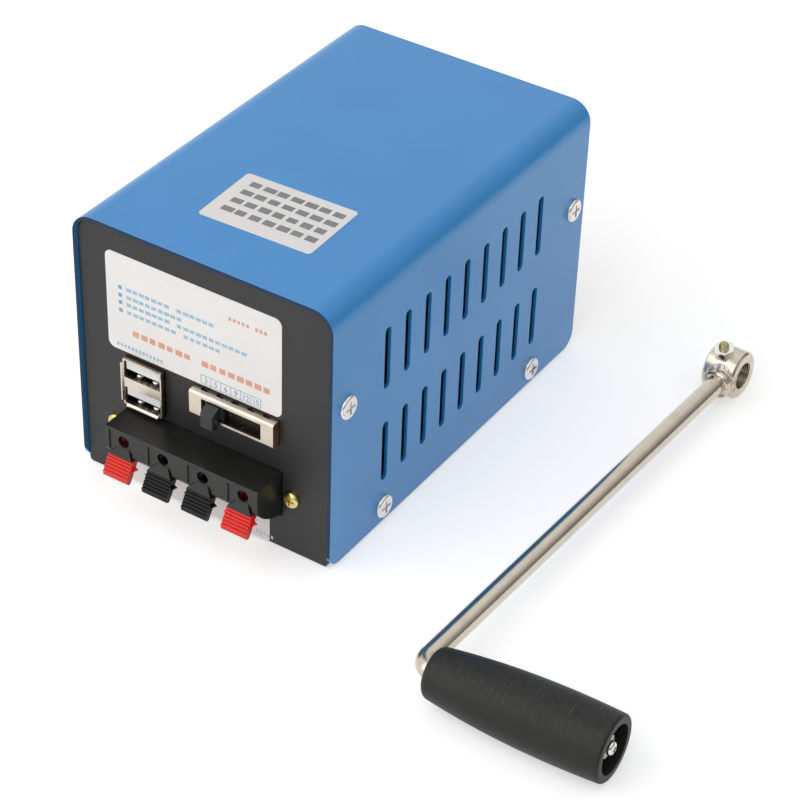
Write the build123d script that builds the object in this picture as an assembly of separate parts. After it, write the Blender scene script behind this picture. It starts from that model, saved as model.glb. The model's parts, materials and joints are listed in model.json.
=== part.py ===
"""Hand crank generator in a folded sheet-metal case, with its loose crank lying beside it.

The origin is the centre of the case's bottom face.  X runs to the right along the front
panel, Y runs from the front panel to the rear one, and Z is up.  Lengths are millimetres.
"""
from build123d import *
import os
from math import asin, cos, degrees, pi, radians, sin, sqrt, tan

# ---------------------------------------------------------------- driving dimensions
# Sheet-metal case
case_width = 86.0
case_depth = 133.0
case_height = 86.0
case_corner_radius = 6.5
sheet = 1.0
cover_lift = 0.8            # lower edge of the cover above the table
cover_foot_radius = 5.0     # rounded lower corners of the cover's side walls
panel_recess = 0.9          # front and rear panels behind the cover's edges
cover_gap = 0.3             # air between the chassis and the cover
bend_radius = 1.0           # outside radius of the chassis bends
panel_foot_radius = 2.0     # rounded lower corners of the two panels
flange_depth = 12.0         # folded edges that the cover is screwed to
flange_margin = 8.0
floor_flange_height = 13.0
floor_flange_inset = 18.0

# Vents in the cover's side walls
vent_count = 9
vent_pitch = 10.0
vent_length = 20.2
vent_width = 2.9
vent_row_heights = (25.8, 57.7)

# Cover screws
cover_screw_radius = 2.0
cover_screw_hole_radius = 2.2
cover_screw_length = 6.0
cover_screw_head_radius = 3.6
cover_screw_head_height = 1.4
end_screw_inset = 7.0
end_screw_height = 53.2
floor_screw_inset = 26.3
floor_screw_height = 6.5

# Stickers
sticker_thickness = 0.15
front_sticker_width = 58.8
front_sticker_centre_x = -3.1
front_sticker_top_margin = 8.3         # down from the case's top
front_sticker_switch_gap = 1.0         # above the switch's frame
front_sticker_radius = 2.2
low_sticker_size = (48.6, 10.7)
low_sticker_centre = (-2.0, 5.95)
low_sticker_radius = 1.0
top_sticker_size = (36.3, 24.6)
top_sticker_centre_x = 3.0
top_sticker_inset = 31.9
top_sticker_turn = 1.9
top_sticker_radius = 1.2

# Double USB socket
usb_centre_x = -19.9
usb_width = 13.2
usb_height = 15.4
usb_length = 17.7
usb_reach = 1.9             # how far it stands out of the front panel
usb_sheet = 0.4
usb_divider = 3.2
usb_lip = 0.5
usb_lip_length = 0.5
usb_tongue_width = 11.4
usb_tongue_thickness = 2.5
usb_tongue_drop = 0.5       # top of an opening to its tongue
usb_tongue_setback = 0.6
usb_back_block = 4.0
usb_contact_count = 4
usb_contact_pitch = 2.3
usb_contact_width = 1.0
usb_tab_radius = 1.3
usb_tab_height = 0.7
usb_tab_spread = 5.6
usb_tab_setback = 3.2
usb_lip_inset = 1.2         # from the shell's corners to the ends of the side lips
usb_contact_thickness = 0.3
usb_contact_bump_radius = 0.5
usb_contact_bump_setback = 2.6

# Six-position slide switch
switch_centre = (11.3, 40.4)
switch_width = 28.2
switch_height = 8.2
switch_reach = 2.9
switch_depth = 9.6
switch_sheet = 0.5
switch_slot_length = 20.0
switch_slot_height = 5.4
switch_positions = 6
switch_step = 2.45
switch_rest_position = 0    # counted from 0 at the left
switch_notch_width = 2.2
switch_notch_pitch = 5.2
switch_notch_count = 5
switch_flange_setback = 1.5
slider_width = 4.2
slider_stem_height = 3.9
slider_stem_rise = 0.0      # stem's middle above the slot's
slider_reach = 3.0
slider_front_top = 40.7     # upper and lower edge of the hooked knob's front face
slider_front_bottom = 36.0
slider_hook_gap = 0.35      # hook to the frame's front face
slider_shoe_height = 5.6
slider_shoe_thickness = 1.6
slider_shoe_margin = 1.0
switch_pin_count = 7
switch_pin_radius = 0.35
switch_pin_setback = 2.2

# Row of four press terminals
terminal_count = 4
terminal_pitch = 13.65
terminal_centre_x = 0.0
terminal_block_centre_x = 0.2
terminal_width = 52.4
terminal_top = 27.2
terminal_face_height = 7.4
terminal_reach = 11.5
terminal_foot = 12.0
terminal_wall = 1.4
terminal_cell_width = 10.4
terminal_back_wall = 1.5
terminal_flange_width = 72.0
terminal_flange_thickness = 2.5
terminal_flange_drop = 0.7
wire_hole_radius = 1.85
wire_hole_depth_below_top = 3.4
wire_hole_shift = 0.8       # to the right of the cell's middle
lever_window_drop = 1.05     # front wall's lower edge below the front face's bottom
ramp_reach = 0.8            # wedge under each wire hole, standing out of the front face
ramp_bottom_width = 8.1
ramp_top_width = 3.5
ramp_top_gap = 0.2
face_recess = 0.35          # shallow panel around each wedge
face_recess_width = 8.2
face_recess_rise = 2.6      # panel's upper edge above the wire hole's middle
terminal_screw_centre_x = -0.5
terminal_screw_spacing = 60.8
terminal_screw_height = 19.5
terminal_screw_radius = 1.5
terminal_screw_head_radius = 2.6
terminal_screw_head_height = 1.6
terminal_screw_length = 5.0
contact_width = 5.0
contact_thickness = 0.4
contact_tail_width = 3.0
contact_tail_thickness = 0.8
contact_tail_length = 6.0
contact_height = 21.5
contact_half_height = 3.2

# Ribbed lever of one terminal
lever_width = 8.6
lever_plate_thickness = 1.4
lever_plate_setback = 4.4
lever_plate_top = 25.0
lever_pin_setback = 6.2
lever_pin_height = 17.4
lever_pin_radius = 0.8
lever_bore_clearance = 0.08
lever_boss_radius = 1.9
lever_pad_reach = 3.35
lever_pad_top = 18.3
lever_pad_drop = 5.1
lever_pad_thickness = 1.8
lever_rib_count = 6
lever_rib_radius = 0.45
lever_wing_span = 1.2
lever_wing_length = 1.9
lever_wing_place = 2.3      # along the pad from its upper edge
lever_wing_thickness = 0.8

# Circuit board and what it carries
board_side_gap = 4.0        # cover's inside to the board
board_length = 35.0
board_thickness = 1.6
board_top = 28.9
board_front_gap = 1.0
standoff_inset = 4.0        # from the board's side edges
standoff_insets = (10.0, 33.0)
standoff_across_flats = 5.5
small_screw_radius = 1.5
small_screw_clearance = 0.1
small_screw_head_radius = 2.7
small_screw_head_height = 1.8
board_screw_length = 6.0
capacitor_radius = 4.0
capacitor_height = 14.0
capacitor_xs = (7.0, 17.0, 27.0)
capacitor_inset = 24.0
coil_outer_radius = 7.5
coil_inner_radius = 3.4
coil_height = 6.0
coil_place = (-6.0, 26.0)
bridge_size = (15.0, 3.5, 10.0)
bridge_place = (15.0, 33.5)
regulator_size = (10.0, 4.4, 9.5)
regulator_place = (-22.0, 24.0)
heatsink_size = (16.0, 2.0, 16.0)
heatsink_fins = 6
heatsink_fin_length = 6.0
heatsink_fin_thickness = 0.9

# Step-up gear train
plate_thickness = 2.0
plate_side_gap = 3.0        # cover's inside to the gear plates
plate_bottom = 4.0
plate_top_gap = 4.0         # gear plates' upper edge to the case's top
plate_corner_radius = 4.0
plate_spacing = 21.0        # clear space between the two gear plates
rear_spacer_length = 8.0
pillar_radius = 3.0
pillar_inset = 6.0          # from the plates' side edges
pillar_edge = (4.5, 5.0)    # from the plates' lower and upper edge
pillar_thread_depth = 8.0
pressure_angle = radians(20.0)
addendum = 0.9
dedendum = 1.2
tooth_play = 0.09           # tooth thinning at the pitch circle, each gear
first_module = 0.8
second_module = 0.6
drive_teeth = 60
idler_pinion_teeth = 15
idler_gear_teeth = 45
motor_pinion_teeth = 15
drive_axis_height = 43.0
idler_direction = (-0.8, -0.6)     # from the drive shaft, along X and Z
motor_direction = (1.0, 0.0)       # from the idler shaft, along X and Z
first_gear_width = 6.0
second_gear_width = 5.0
pinion_overhang = 0.4
first_plane_gap = 4.6       # rear gear plate to the first pair of gears
second_plane_gap = 2.6      # front gear plate to the second pair of gears
drive_shaft_radius = 5.0
idler_shaft_radius = 2.0
running_clearance = 0.05
bush_wall = 2.0
bush_flange = 1.5
bush_flange_thickness = 1.0
gear_hub_wall = 3.0
gear_hub_length = 2.0
gear_window_radius = 4.2
gear_window_circle = 15.0
gear_window_count = 6
shaft_tip_radius = 4.0
shaft_free_length = 15.0
shaft_flat_depth = 0.25
shaft_flat_turn = 36.0      # how the shaft happens to stand
shaft_flat_start = 1.0      # from the shoulder
shaft_chamfer = 0.6
shaft_end_gap = 0.3         # front gear plate's face to the shafts' inner ends
collar_wall = 2.5
collar_length = 3.0
collar_play = 0.3
rear_bearing_radius = 7.0
rear_bearing_flange_radius = 9.0
rear_bearing_flange_thickness = 1.5
rear_bearing_reach = 3.6
rear_nut_across_flats = 19.0
rear_nut_thickness = 2.8

# Permanent-magnet generator
can_radius = 17.9
can_wall = 1.5
board_to_motor = 2.6        # board's rear edge to the motor's end boss
can_boss_radius = 6.4
motor_shaft_radius = 1.6
motor_bearing_radius = 3.5
cap_thickness = 5.0
cap_boss_radius = 5.5
cap_boss_length = 2.6
magnet_thickness = 2.0
magnet_end_gap = 9.0        # magnets' far end to the can's closed end
magnet_gap_half = 3.0
magnet_setback = 7.0
air_gap = 0.6
core_setback = 1.5          # core's ends inside the magnets'
core_slots = 5
core_slot_width = 2.4
core_slot_depth = 6.0
winding_radius = 11.2
winding_length = 3.4
commutator_radius = 4.2
commutator_length = 4.4
commutator_setback = 0.3
brush_size = (4.0, 4.0)
brush_gap = 0.3
brush_length = 5.0
motor_screw_circle = 12.5
lead_radius = 0.8
lead_bend = 2.5
lead_spread = 9.0           # leads to either side of the motor's axis
lead_rise = 6.1             # above the board
lead_end_inset = 2.0        # from the board's rear edge
tail_end_inset = 1.2        # terminal leads from the tails' ends

# Crank: hub and rod, with its grip
hub_radius = 7.5
hub_length = 10.4
hub_chamfer = 0.6
hub_bore_clearance = 0.05
crank_throw = 165.3         # hub axis to where the rod's and the grip's lines meet
crank_rod_radius = 3.0
crank_rod_offset = 0.8      # from the hub's middle, along its bore
crank_bend_radius = 4.0
crank_bend_turn = 93.4      # a little past square, as the rod is bent
weld_radius = 4.7
weld_length = 2.6
weld_round = 1.2
weld_sink = 0.6             # how deep the rod's end and the weld sit in the hub
set_screw_radius = 1.6
set_screw_turn = -17.0      # leans towards the rod
set_screw_offset = -0.7     # from the hub's middle, along its bore
set_screw_tip_height = 11.8
set_screw_slot = (0.4, 0.6)     # width and depth
set_screw_slot_turn = 123.5     # from the bore's axis
set_screw_round = 1.1
lock_nut_across_flats = 5.5
lock_nut_thickness = 2.8
lock_nut_seat = 7.3
hub_place = (93.4, 73.2)
crank_turn = -1.8           # how the loose crank lies on the table
crank_roll = 0.9            # the grip's far end lies a little higher
crank_rest_margin = 0.02    # keeps the rolled crank above the table

grip_start = 3.8            # from the meeting point to the grip's near end
grip_length = 53.4
grip_near_radius = 7.4
grip_near_round = 2.2
grip_shoulder_radius = 9.0
grip_shoulder_place = 16.2  # from the grip's near end
grip_belly_radius = 9.8
grip_belly_place = 31.5
grip_far_radius = 9.5
grip_far_round = 0.8
grip_bore_clearance = 0.1
grip_mouth_radius = 4.9
grip_mouth_depth = 4.0
grip_recess_radius = 7.0
grip_recess_depth = 3.0      # to the face of the boss that carries the washer
grip_groove_depth = 9.0      # of the ring-shaped hollow round the boss
grip_boss_radius = 4.2
washer_radius = 3.3
washer_thickness = 0.8
washer_play = 0.3
grip_screw_head_radius = 2.0
grip_screw_head_height = 1.8
grip_screw_radius = 1.2
grip_screw_length = 8.0

# ---------------------------------------------------------------- derived places
front_edge = -case_depth / 2
rear_edge = case_depth / 2
panel_face = front_edge + panel_recess
panel_back = panel_face + sheet
rear_face = rear_edge - panel_recess
rear_inner = rear_face - sheet
cover_inner_x = case_width / 2 - sheet
chassis_x = cover_inner_x - cover_gap
flange_inner_x = chassis_x - sheet
panel_top = case_height - sheet - cover_gap

terminal_front = panel_face - terminal_reach
cell_xs = [terminal_centre_x + (i - (terminal_count - 1) / 2) * terminal_pitch
           for i in range(terminal_count)]

rear_plate_back = rear_inner - rear_spacer_length
rear_plate_front = rear_plate_back - plate_thickness
front_plate_back = rear_plate_front - plate_spacing
front_plate_front = front_plate_back - plate_thickness
first_plane = rear_plate_front - first_plane_gap - first_gear_width
second_plane = front_plate_back + second_plane_gap

first_distance = first_module * (drive_teeth + idler_pinion_teeth) / 2
second_distance = second_module * (idler_gear_teeth + motor_pinion_teeth) / 2
drive_axis = (0.0, drive_axis_height)
idler_axis = (drive_axis[0] + first_distance * idler_direction[0],
              drive_axis[1] + first_distance * idler_direction[1])
motor_axis = (idler_axis[0] + second_distance * motor_direction[0],
              idler_axis[1] + second_distance * motor_direction[1])
shaft_end = rear_face + rear_bearing_reach + shaft_free_length

board_half_width = cover_inner_x - board_side_gap
board_bottom = board_top - board_thickness
board_front = panel_back + board_front_gap
plate_half_width = cover_inner_x - plate_side_gap
plate_top = case_height - plate_top_gap

cap_front = board_front + board_length + board_to_motor + cap_boss_length
can_front = cap_front + cap_thickness
magnet_start = can_front + magnet_setback
magnet_length = front_plate_front - magnet_end_gap - magnet_start
core_start = magnet_start + core_setback
core_length = magnet_length - 2 * core_setback


# ---------------------------------------------------------------- small helpers
def block(x0, x1, y0, y1, z0, z1):
    """A box between two opposite corners."""
    return Pos((x0 + x1) / 2, (y0 + y1) / 2, (z0 + z1) / 2) * Box(x1 - x0, y1 - y0, z1 - z0)


def frame_at(axis, along, u, v):
    """A plane at one point whose normal is the named axis; u and v are the other two places."""
    if axis == "X":
        return Plane(origin=(along, u, v), x_dir=(0, 1, 0), z_dir=(1, 0, 0))
    if axis == "Y":
        return Plane(origin=(u, along, v), x_dir=(-1, 0, 0), z_dir=(0, 1, 0))
    return Plane(origin=(u, v, along), x_dir=(1, 0, 0), z_dir=(0, 0, 1))


def rod(axis, radius, start, end, u, v):
    """A cylinder along one axis from start to end."""
    return extrude(frame_at(axis, start, u, v) * Circle(radius), amount=end - start)


def ring(axis, outer, inner, start, end, u, v):
    """A tube along one axis."""
    return rod(axis, outer, start, end, u, v) - rod(axis, inner, start, end, u, v)


def hexagon(axis, across_flats, start, end, u, v):
    """A six-sided bar along one axis."""
    corner_radius = across_flats / sqrt(3)
    return extrude(frame_at(axis, start, u, v) * RegularPolygon(corner_radius, 6), amount=end - start)


def cross_screw(head_radius, head_height, shank_radius, shank_length):
    """A pan-head cross-recess screw: its head above the XY plane, its shank below."""
    head = extrude(Circle(head_radius), amount=head_height)
    head = fillet(head.edges().group_by(Axis.Z)[-1], head_height * 0.62)
    arm = head_radius * 1.15
    slot = head_radius * 0.24
    recess = Pos(0, 0, head_height) * (Box(arm, slot, head_height) + Box(slot, arm, head_height))
    shank = extrude(Circle(shank_radius), amount=-shank_length)
    return (head - recess) + shank


def facing(origin, direction):
    """A location at origin whose Z points along direction."""
    return Plane(origin=origin, z_dir=direction).location


def sheet_plate(size, radius, thickness):
    """A thin plate with rounded corners in the XY plane, centred, standing on Z = 0."""
    return extrude(RectangleRounded(size[0], size[1], radius), amount=thickness)


def involute(angle):
    """The involute function of an angle in radians."""
    return tan(angle) - angle


def tooth_half_angle(teeth, module, radius):
    """Half the angle that a tooth covers at a radius; below the base circle it stays constant."""
    pitch_radius = module * teeth / 2
    base_radius = pitch_radius * cos(pressure_angle)
    half_at_pitch = pi / (2 * teeth) - tooth_play / (2 * pitch_radius)
    ratio = min(1.0, base_radius / radius)
    local_angle = pi / 2 - asin(ratio)
    return half_at_pitch + involute(pressure_angle) - involute(local_angle)


def gear(teeth, module, face, width, centre, first_tooth):
    """A spur gear along Y from face; first_tooth is the direction of one tooth's middle."""
    pitch_radius = module * teeth / 2
    tip_radius = pitch_radius + addendum * module
    root_radius = pitch_radius - dedendum * module
    base_radius = pitch_radius * cos(pressure_angle)
    flank_start = max(root_radius, base_radius)
    steps = 4
    flank = [flank_start + (tip_radius - flank_start) * i / steps for i in range(steps + 1)]
    radii = [root_radius] + flank if root_radius < flank_start - 0.01 else flank
    points = []
    for tooth in range(teeth):
        middle = first_tooth + 2 * pi * tooth / teeth
        rising = [(r, middle - tooth_half_angle(teeth, module, r)) for r in radii]
        falling = [(r, middle + tooth_half_angle(teeth, module, r)) for r in reversed(radii)]
        points += [(centre[0] + r * cos(a), face, centre[1] + r * sin(a)) for r, a in rising + falling]
    outline = Face(Wire.make_polygon(points, close=True))
    return extrude(outline, amount=width, dir=(0, 1, 0))


# ---------------------------------------------------------------- case
def tunnel(half_width, top, radius, bottom):
    """A bar as long as the case whose two upper edges are rounded."""
    bar = block(-half_width, half_width, front_edge, rear_edge, bottom, top)
    return fillet(bar.edges().filter_by(Axis.Y).group_by(Axis.Z)[-1], radius)


def cover_screw_places():
    """Middle of every cover screw on one side, as (y, z)."""
    places = []
    for end, sign in ((front_edge, 1), (rear_edge, -1)):
        places.append((end + sign * end_screw_inset, end_screw_height))
        places.append((end + sign * floor_screw_inset, floor_screw_height))
    return places


def make_cover():
    outer = tunnel(case_width / 2, case_height, case_corner_radius, cover_lift)
    inner = tunnel(cover_inner_x, case_height - sheet, case_corner_radius - sheet, cover_lift - 1)
    cover = outer - inner
    cover = fillet(cover.edges().filter_by(Axis.X).group_by(Axis.Z)[0], cover_foot_radius)
    cuts = []
    for height in vent_row_heights:
        for i in range(vent_count):
            y = (i - (vent_count - 1) / 2) * vent_pitch
            place = Plane(origin=(0, y, height), x_dir=(0, 0, 1), z_dir=(1, 0, 0))
            cuts.append(extrude(place * SlotOverall(vent_length, vent_width), amount=case_width, both=True))
    for y, z in cover_screw_places():
        cuts.append(rod("X", cover_screw_hole_radius, -case_width, case_width, y, z))
    return cover - cuts


def make_cover_screws():
    screw = cross_screw(cover_screw_head_radius, cover_screw_head_height, cover_screw_radius,
                        cover_screw_length)
    solids = []
    for side in (-1, 1):
        for y, z in cover_screw_places():
            solids.append(facing((side * case_width / 2, y, z), (side, 0, 0)) * screw)
    return Compound(solids)


def terminal_screw_xs():
    return [terminal_screw_centre_x + side * terminal_screw_spacing / 2 for side in (-1, 1)]


def pillar_places():
    heights = (plate_bottom + pillar_edge[0], plate_top - pillar_edge[1])
    x = plate_half_width - pillar_inset
    return [(side * x, height) for side in (-1, 1) for height in heights]


def standoff_places():
    x = board_half_width - standoff_inset
    return [(side * x, front_edge + inset) for side in (-1, 1) for inset in standoff_insets]


def make_chassis():
    """Front panel, floor and rear panel folded from one sheet, with flanges for the cover screws."""
    body = block(-chassis_x, chassis_x, panel_face, rear_face, 0, panel_top)
    body = fillet(body.edges().filter_by(Axis.X).group_by(Axis.Z)[0], bend_radius)
    hollow = block(-chassis_x - 1, chassis_x + 1, panel_back, rear_inner, sheet, panel_top + 1)
    body -= hollow
    outline = block(-chassis_x, chassis_x, panel_face - 1, rear_face + 1, 0, panel_top)
    upright = outline.edges().filter_by(Axis.Y)
    outline = fillet(upright.group_by(Axis.Z)[-1], case_corner_radius - sheet - cover_gap)
    outline = fillet(outline.edges().filter_by(Axis.Y).group_by(Axis.Z)[0], panel_foot_radius)
    body = body & outline
    for side in (-1, 1):
        x0, x1 = sorted((side * flange_inner_x, side * chassis_x))
        body += block(x0, x1, panel_back - 0.01, panel_back + flange_depth, panel_foot_radius + flange_margin,
                      panel_top - flange_margin)
        body += block(x0, x1, rear_inner - flange_depth, rear_inner + 0.01, panel_foot_radius + flange_margin,
                      panel_top - flange_margin)
        body += block(x0, x1, front_edge + floor_flange_inset, rear_edge - floor_flange_inset,
                      sheet / 2, floor_flange_height)
    body = body & tunnel(chassis_x, panel_top, case_corner_radius - sheet - cover_gap, -1)
    cuts = [rod("X", cover_screw_radius, -case_width, case_width, y, z) for y, z in cover_screw_places()]
    fit = 0.2
    half_usb = usb_width / 2 + fit
    cuts.append(block(usb_centre_x - half_usb, usb_centre_x + half_usb, panel_face - 1, panel_back + 1,
                      board_top - fit, board_top + usb_height + fit))
    half_switch = switch_width / 2 + fit
    cuts.append(block(switch_centre[0] - half_switch, switch_centre[0] + half_switch, panel_face - 1,
                      panel_back + 1, switch_centre[1] - switch_height / 2 - fit,
                      switch_centre[1] + switch_height / 2 + fit))
    half_terminal = terminal_width / 2 + fit
    cuts.append(block(terminal_block_centre_x - half_terminal, terminal_block_centre_x + half_terminal,
                      panel_face - 1, panel_back + 1, terminal_foot - fit, terminal_top + fit))
    for x in terminal_screw_xs():
        cuts.append(rod("Y", terminal_screw_radius + small_screw_clearance, panel_face - 1,
                        panel_back + 1, x, terminal_screw_height))
    for x, z in pillar_places():
        cuts.append(rod("Y", small_screw_radius + small_screw_clearance, rear_inner - 1, rear_face + 1, x, z))
    cuts.append(rod("Y", rear_bearing_radius, rear_inner - 1, rear_face + 1, *drive_axis))
    return body - cuts


def make_stickers():
    """Blank stickers: the two on the front panel as one group, and the one on top."""
    def on_panel(size, radius, centre):
        plate = sheet_plate(size, radius, sticker_thickness)
        place = Plane(origin=(centre[0], panel_face, centre[1]), x_dir=(1, 0, 0), z_dir=(0, -1, 0))
        return place.location * plate

    top_place = Pos(top_sticker_centre_x, front_edge + top_sticker_inset, case_height)
    top = top_place * Rot(0, 0, top_sticker_turn) * sheet_plate(top_sticker_size, top_sticker_radius,
                                                                sticker_thickness)
    front_foot = switch_centre[1] + switch_height / 2 + front_sticker_switch_gap
    front_top = case_height - front_sticker_top_margin
    front = [on_panel((front_sticker_width, front_top - front_foot), front_sticker_radius,
                      (front_sticker_centre_x, (front_top + front_foot) / 2)),
             on_panel(low_sticker_size, low_sticker_radius, low_sticker_centre)]
    return Compound(front), top


# ---------------------------------------------------------------- double USB socket
usb_front = panel_face - usb_reach
usb_back = usb_front + usb_length
usb_left = usb_centre_x - usb_width / 2
usb_right = usb_centre_x + usb_width / 2
usb_top = board_top + usb_height
usb_opening = (usb_height - 2 * usb_sheet - usb_divider) / 2
usb_floors = (board_top + usb_sheet, board_top + usb_sheet + usb_opening + usb_divider)


def make_usb_shell():
    """Folded steel shell with two openings, a divider band and flared lips."""
    shell = block(usb_left, usb_right, usb_front, usb_back, board_top, usb_top)
    cuts = []
    for floor in usb_floors:
        cuts.append(block(usb_left + usb_sheet, usb_right - usb_sheet, usb_front - 1,
                          usb_back - usb_sheet, floor, floor + usb_opening))
    shell -= cuts
    lips = []
    side_z0, side_z1 = board_top + usb_lip_inset, usb_top - usb_lip_inset
    for side, edge in ((-1, usb_left), (1, usb_right)):
        lip = Polyline((edge, usb_front), (edge - side * usb_sheet, usb_front),
                       (edge - side * usb_sheet + side * usb_lip, usb_front - usb_lip_length),
                       (edge + side * usb_lip, usb_front - usb_lip_length), close=True)
        lips.append(Pos(0, 0, side_z0) * extrude(make_face(lip), amount=side_z1 - side_z0))
    for side, edge in ((-1, board_top), (1, usb_top)):
        corners = [(edge, usb_front), (edge - side * usb_sheet, usb_front),
                   (edge - side * usb_sheet + side * usb_lip, usb_front - usb_lip_length),
                   (edge + side * usb_lip, usb_front - usb_lip_length)]
        points = [(usb_left + usb_lip_inset, y, z) for z, y in corners]
        lips.append(extrude(Face(Wire.make_polygon(points, close=True)), amount=usb_width - 2 * usb_lip_inset,
                            dir=(1, 0, 0)))
    return shell + lips


def make_usb_insulator():
    """White plastic tongues, one in each opening, joined by a block at the back."""
    solids = []
    for floor in usb_floors:
        top = floor + usb_opening - usb_tongue_drop
        back = usb_back - usb_sheet
        tongue = block(usb_centre_x - usb_tongue_width / 2, usb_centre_x + usb_tongue_width / 2,
                       usb_front + usb_tongue_setback, back, top - usb_tongue_thickness, top)
        rear = block(usb_left + usb_sheet, usb_right - usb_sheet, back - usb_back_block, back,
                     floor, floor + usb_opening)
        solids.append(tongue + rear)
    return Compound(solids)


def make_usb_tabs():
    """The two rounded grounding springs on the floor of each opening."""
    solids = []
    for floor in usb_floors:
        for side in (-1, 1):
            x = usb_centre_x + side * usb_tab_spread / 2
            y = usb_front + usb_tab_setback
            tab = Pos(x, y, floor) * extrude(Circle(usb_tab_radius), amount=usb_tab_height)
            solids.append(fillet(tab.edges().group_by(Axis.Z)[-1], usb_tab_height * 0.8))
    return solids


def make_usb_contacts():
    """Four spring contacts under each tongue, and two grounding springs on each floor."""
    solids = make_usb_tabs()
    for floor in usb_floors:
        under = floor + usb_opening - usb_tongue_drop - usb_tongue_thickness
        for i in range(usb_contact_count):
            x = usb_centre_x + (i - (usb_contact_count - 1) / 2) * usb_contact_pitch
            strip = block(x - usb_contact_width / 2, x + usb_contact_width / 2,
                          usb_front + usb_tongue_setback + 1, usb_back - usb_sheet - usb_back_block,
                          under - usb_contact_thickness, under)
            bump = rod("X", usb_contact_bump_radius, x - usb_contact_width / 2, x + usb_contact_width / 2,
                       usb_front + usb_tongue_setback + usb_contact_bump_setback,
                       under - usb_contact_thickness)
            above = block(x - usb_contact_width, x + usb_contact_width, usb_front, usb_back, under - 0.01,
                          under + usb_contact_bump_radius)
            solids.append(strip + (bump - above))
    return Compound(solids)


# ---------------------------------------------------------------- slide switch
switch_front = panel_face - switch_reach
switch_back = switch_front + switch_depth
slider_x = switch_centre[0] + (switch_rest_position - (switch_positions - 1) / 2) * switch_step
shoe_half = slider_width / 2 + slider_shoe_margin


def make_switch_frame():
    """Nickel-plated channel: front face with the slot, and a flange above and below."""
    x0, x1 = switch_centre[0] - switch_width / 2, switch_centre[0] + switch_width / 2
    z0, z1 = switch_centre[1] - switch_height / 2, switch_centre[1] + switch_height / 2
    frame = block(x0, x1, switch_front, switch_back - switch_flange_setback, z0, z1)
    frame = fillet(frame.edges().filter_by(Axis.X).group_by(Axis.Y)[0], 0.8)
    frame -= block(x0 - 1, x1 + 1, switch_front + switch_sheet, switch_back, z0 + switch_sheet,
                   z1 - switch_sheet)
    place = Plane(origin=(switch_centre[0], switch_front - 1, switch_centre[1]), x_dir=(1, 0, 0),
                  z_dir=(0, -1, 0))
    slot = extrude(place * RectangleRounded(switch_slot_length, switch_slot_height, 0.4), amount=-3)
    notches = []
    half_notch = switch_notch_width / 2
    for i in range(switch_notch_count):
        x = switch_centre[0] + (i - (switch_notch_count - 1) / 2) * switch_notch_pitch
        notches.append(block(x - half_notch, x + half_notch, panel_face - half_notch,
                             panel_face + switch_sheet, z1 - 1, z1 + 1))
    return frame - slot - notches


def make_switch_body():
    """Brown laminate body that fills the channel and holds the slider's track."""
    half_width = switch_width / 2 - 0.1
    half_height = switch_height / 2 - switch_sheet
    x, z = switch_centre
    body = block(x - half_width, x + half_width, switch_front + switch_sheet, switch_back,
                 z - half_height, z + half_height)
    travel_half = (switch_positions - 1) * switch_step / 2
    track = block(x - travel_half - shoe_half - 0.4, x + travel_half + shoe_half + 0.4,
                  switch_front - 1, switch_front + switch_sheet + slider_shoe_thickness + 0.6,
                  z - slider_shoe_height / 2 - 0.3, z + slider_shoe_height / 2 + 0.3)
    return body - track


def make_switch_slider():
    """Black slider: a hooked knob outside and a wider shoe behind the front face."""
    x, z = slider_x, switch_centre[1]
    shoe_front = switch_front + switch_sheet + 0.3
    shoe = block(x - shoe_half, x + shoe_half, shoe_front, shoe_front + slider_shoe_thickness,
                 z - slider_shoe_height / 2, z + slider_shoe_height / 2)
    stem_top = z + slider_stem_rise + slider_stem_height / 2
    stem_bottom = z + slider_stem_rise - slider_stem_height / 2
    front = switch_front - slider_reach
    hook_back = switch_front - slider_hook_gap
    side_view = [(shoe_front + 0.1, stem_top), (switch_front, stem_top), (front, slider_front_top),
                 (front, slider_front_bottom), (hook_back, slider_front_bottom), (hook_back, stem_bottom),
                 (shoe_front + 0.1, stem_bottom)]
    points = [(x - slider_width / 2, y, height) for y, height in side_view]
    knob = extrude(Face(Wire.make_polygon(points, close=True)), amount=slider_width, dir=(1, 0, 0))
    knob = fillet(knob.edges().group_by(Axis.Y)[0], 0.4)
    return shoe + knob


def make_switch_pins():
    """Terminal pins that run back from the switch and down to the board."""
    solids = []
    for i in range(switch_pin_count):
        x = switch_centre[0] + (i - (switch_pin_count - 1) / 2) * switch_step
        y = switch_back + switch_pin_setback
        path = FilletPolyline((x, switch_back, switch_centre[1]), (x, y, switch_centre[1]),
                              (x, y, board_top), radius=0.8)
        section = Plane(origin=(x, switch_back, switch_centre[1]), z_dir=(0, 1, 0)) * Circle(switch_pin_radius)
        solids.append(sweep(section, path=path))
    return Compound(solids)


# ---------------------------------------------------------------- press terminals
pin_y = terminal_front + lever_pin_setback
cell_back = panel_face - terminal_back_wall
wire_hole_height = terminal_top - wire_hole_depth_below_top
face_bottom = terminal_top - terminal_face_height
wall_foot = face_bottom - lever_window_drop


def make_ramp(x):
    """Wedge under a wire hole: wide and standing out at its foot, narrow and flush at its top."""
    root = terminal_front + face_recess + 0.1
    top = wire_hole_height - wire_hole_radius - ramp_top_gap
    foot_reach = root - (terminal_front - ramp_reach)
    top_reach = root - (terminal_front + face_recess - 0.1)
    foot = Plane.XY.offset(wall_foot) * Pos(x, root - foot_reach / 2) * Rectangle(ramp_bottom_width, foot_reach)
    head = Plane.XY.offset(top) * Pos(x + wire_hole_shift, root - top_reach / 2) * Rectangle(
        ramp_top_width, top_reach)
    return loft([foot, head], ruled=True)


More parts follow.
